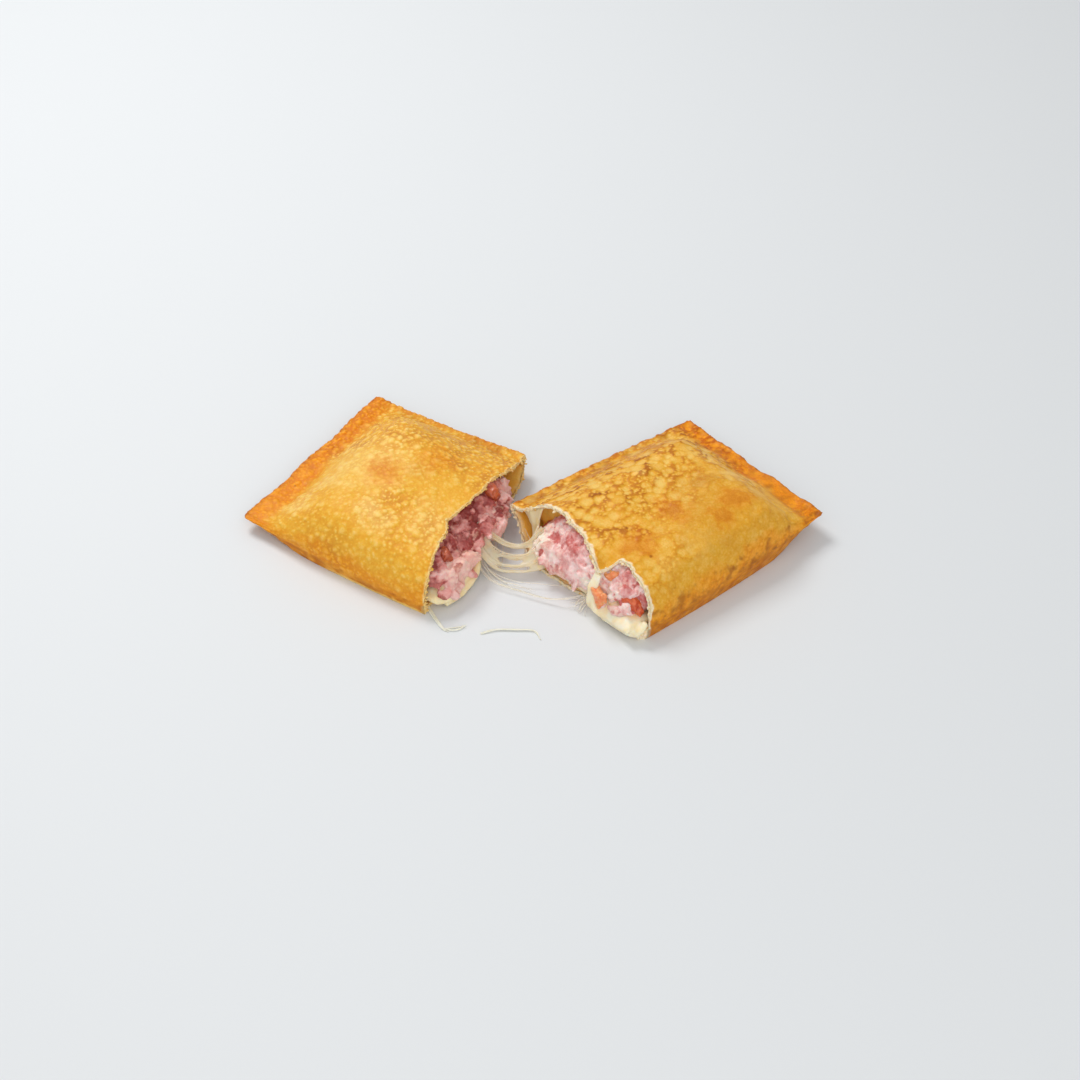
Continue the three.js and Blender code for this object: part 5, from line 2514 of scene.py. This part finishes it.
@dataclass(frozen=True)
class Studio:
    """The pale floor, the soft light and the camera."""

    sensor: float = 36
    focal: float = 2380 / 1080 * 36  # 2380 pixels, of which the sensor is 1080 wide
    distance: float = 1053
    elevation: float = 43
    floor_side: float = 8000

    @staticmethod
    def place(name: str, data: ID, spot: Vector, aim: Vector) -> Object:
        """Stand a camera or a lamp in the scene.

        Args:
            name: Its name.
            data: Its data.
            spot: Where it stands, in metres.
            aim: The direction that it faces.

        Returns:
            The object.
        """
        made = bpy.data.objects.new(name, data)
        made.location = spot
        made.rotation_mode = "QUATERNION"
        made.rotation_quaternion = aim.to_track_quat("-Z", "Y")
        bpy.context.scene.collection.objects.link(made)
        return made

    def camera(self) -> None:
        """Stand the camera at the photograph's angle, aimed at the middle of its frame."""
        lift = math.radians(self.elevation)
        back = self.distance * np.array([0, -math.cos(lift), math.sin(lift)])
        data = bpy.data.cameras.new("camera")
        data.sensor_width = self.sensor
        data.lens = self.focal
        data.clip_start, data.clip_end = 0.05, 50
        spot = Vector((TO_ROW + back) * MM)
        bpy.context.scene.camera = self.place("camera", data, spot, Vector(-back))

    def lamp(self, name: str, spot: Triple, side: float, power: float) -> None:
        """Hang a square soft lamp that faces the food.

        Args:
            name: Its name.
            spot: Where it hangs, in metres.
            side: The length of its side, in metres.
            power: Its power, in watts.
        """
        data = bpy.data.lights.new(name, "AREA")
        data.size = side
        data.energy = power
        self.place(name, data, Vector(spot), -Vector(spot))

    def floor(self) -> None:
        """Lay the pale floor."""
        draft = Draft()
        half = self.floor_side / 2
        corners = np.array([[[-half, -half, 0], [-half, half, 0]], [[half, -half, 0], [half, half, 0]]])
        draft.sheet(draft.add(corners))
        floor = draft.build("floor", smooth=False)
        material, tree = Finish(name="pale_floor").start()
        tree.shade("Base Color", linear(224, 227, 229))
        floor.data.materials.append(material)

    def build(self) -> None:
        """Set the studio up."""
        world = bpy.data.worlds.new("soft_light")
        world.use_nodes = True
        world.node_tree.nodes["Background"].inputs["Color"].default_value = (1, 1, 1, 1)
        world.node_tree.nodes["Background"].inputs["Strength"].default_value = 0.5
        bpy.context.scene.world = world
        bpy.context.scene.view_settings.view_transform = "Standard"
        self.camera()
        self.floor()
        self.lamp("key", (-0.45, 0.55, 0.95), 0.45, 6.9)
        self.lamp("fill", (0.1, -1.0, 0.75), 1.2, 5.6)


LEFT_RUNS = (
    Run(
        1.6, 4,
        (
            (0.41, 10.0, 6.0, 0.3), (0.36, 6.4, 8.6, 0.6), (0.3, 3.8, 9.8, 0.9), (0.23, 2.6, 10.2, 1.1),
            (0.16, 2.4, 8.8, 1.0), (0.09, 2.6, 6.0, 0.8),
        ),
    ),
)
RIGHT_RUNS = (
    Run(
        1.15, 10,
        (
            (0.296, 21.6, 2.4, 1.0), (0.292, 17, 5.2, 1.5), (0.288, 12, 7.0, 1.7),
            (0.28, 7.5, 7.4, 2.0), (0.255, 4.2, 6.6, 3.8),
        ),
    ),
    Run(
        1.5, 3,
        (
            (0.13, 3.4, 4.6, 1.0), (0.07, 3.6, 3.2, 0.9), (0.03, 4.8, 1.9, 0.9),
            (0.01, 7.0, 0.6, 0.8), (0.008, 9.6, -1.6, 0.8),
        ),
    ),
    Run(
        1.9, 4,
        ((0.2, 3.4, 5.0, 1.2), (0.12, 3.2, 4.4, 1.2), (0.06, 3.2, 3.0, 1.0), (0.02, 4.0, 0.8, 0.6)),
    ),
)
LEFT_SHREDS = (
    ShredSize(60, (5.0, 9.0), (2.8, 4.6), 0.6, 3, 0.9),
    ShredSize(190, (2.8, 5.0), (1.8, 3.0), 0.75, 2, 1.0),
    ShredSize(120, (1.2, 2.4), (0.8, 1.6), 0.8, 1, 1.2),
)
RIGHT_SHREDS = (
    ShredSize(70, (5.5, 10.0), (3.0, 5.0), 0.6, 3, 0.8),
    ShredSize(160, (3.0, 5.5), (2.0, 3.2), 0.75, 2, 0.8),
    ShredSize(70, (1.4, 2.4), (0.9, 1.6), 0.8, 1, 1.0),
)
LEFT_SLABS = (
    Slab(0.47, 0.45, (15, 5.5, 2.6), 0, 1.1, lift=2.2),
    Slab(0.6, 0.12, (8, 5, 2.8), 60, 0.3),
    Slab(0.73, 0.38, (9, 6, 3), 100, 0.8),
    Slab(0.3, 0.3, (8, 5, 2.8), 30, 0.5),
    Slab(0.56, 0.8, (10, 5, 3), 20, 0.7),
    Slab(0.17, 0.8, (20, 11, 8), 0, 0.8, melted=0.25, lift=1.0),
    Slab(0.26, 0.9, (12, 8, 7), 0, 0.8, melted=0.3, lift=1.0),
)
RIGHT_SLABS = (
    Slab(0.65, 0.1, (14, 5, 2.8), -10, 0.75, lift=2.2),
    Slab(0.62, 0.36, (13, 5.5, 3), 15, 1.1, lift=2.0),
    Slab(0.52, 0.66, (12, 5.5, 3), -10, 1.1, lift=2.0),
    Slab(0.26, 0.62, (9, 7, 4), 0, 1.1, lift=2.0),
    Slab(0.2, 0.3, (9, 5, 3), 30, 0.9),
)
LEFT_VEILS = (Veil(0.2, 4, 8, 0.4), Veil(0.55, 8, 6, 0.4), Veil(0.3, 12, 5, 0.2))
# The veil at v 0.2 is partly painted light: it lightens ham that lies in the tear edge's shade, over the
# cheese that coats it there.
RIGHT_VEILS = (
    Veil(0.72, 10, 10, 0.8), Veil(0.5, 4, 8, 0.5), Veil(0.33, 12, 4, 0.5), Veil(0.2, 12, 8, 0.4),
)


def write_sizes() -> None:
    """Update the view layer."""
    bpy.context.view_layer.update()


def main() -> None:
    """Build the studio and every piece of the pastel, and log each one."""
    logging.basicConfig(level=logging.INFO, format="%(name)s: %(message)s")
    Studio().build()
    makers = (
        DoughHalf(LEFT_CRUST, LEFT, LEFT_FRY),
        DoughHalf(RIGHT_CRUST, RIGHT, RIGHT_FRY),
        # The left ham's low tone is partly painted shade, and the right ham's high tone is partly painted
        # light.
        HamFilling(
            LEFT_HAM, LEFT, LEFT_SHREDS, LEFT_SLABS, (0.04, 0.84), (5.0, 1.2), LEFT_VEILS,
            tone=0.52, vary=0.2, under_dough_shade=0.35, coat=0.5,
        ),
        HamFilling(
            RIGHT_HAM, RIGHT, RIGHT_SHREDS, RIGHT_SLABS, (0.06, 0.8), (9.0, 1.0), RIGHT_VEILS,
            tone=1.06, vary=0.16, under_dough_shade=0.1, coat=1.0,
        ),
        CheeseBed(BED_CHEESE, LEFT, LEFT_RUNS),
        CheeseBed(LIP_CHEESE, RIGHT, RIGHT_RUNS),
        TomatoPiece(DARK_TOMATO, LEFT, 1, 0.2, 17, 0.2, (2.6, 3.4, 4.6), 0.4),
        TomatoPiece(DARK_TOMATO, LEFT, 2, 0.63, 19, 0.6, (3.4, 4.6, 4), 0.9),
        TomatoPiece(PALE_TOMATO, RIGHT, 1, 0.49, 20.5, -4.0, (2.4, 2.6, 3), 0.2),
        TomatoPiece(PALE_TOMATO, RIGHT, 2, 0.255, 12.5, 5.4, (2.4, 3.6, 5.0), 0.5),
        TomatoPiece(PALE_TOMATO, RIGHT, 3, 0.26, 19.5, -3.2, (2.8, 3.8, 3.0), 1.2),
        TomatoPiece(RED_TOMATO, RIGHT, 4, 0.12, 12, -2.5, (2.8, 5.4, 4.4), 0.8),
        CheeseWeb(WEB_CHEESE),
        CheeseCurtain(
            DRAWN_CHEESE, RIGHT, "cheese_curtain", (0.79, 0.9), (0.745, 0.815),
            inside=0.6, foot=6.5, out=1.5, gather=0.55,
        ),
        CheeseCurtain(
            GOLDEN_CHEESE, RIGHT, "cheese_skin", (0.68, 0.9), (0.64, 0.82),
            inside=6.0, foot=9.0, out=-7.0, gather=0.0,
        ),
        CheeseThreads(FINE_CHEESE, "drawn_cheese_threads", HAIRS, 311),
        CheeseThreads(DRY_CHEESE, "loose_cheese_threads", LOOSE, 310),
    )
    for maker in makers:
        piece = maker.build()
        mesh = piece.data
        LOG.info("%s: %d points, %d faces", piece.name, len(mesh.vertices), len(mesh.polygons))
    write_sizes()


if __name__ == "__main__":
    main()
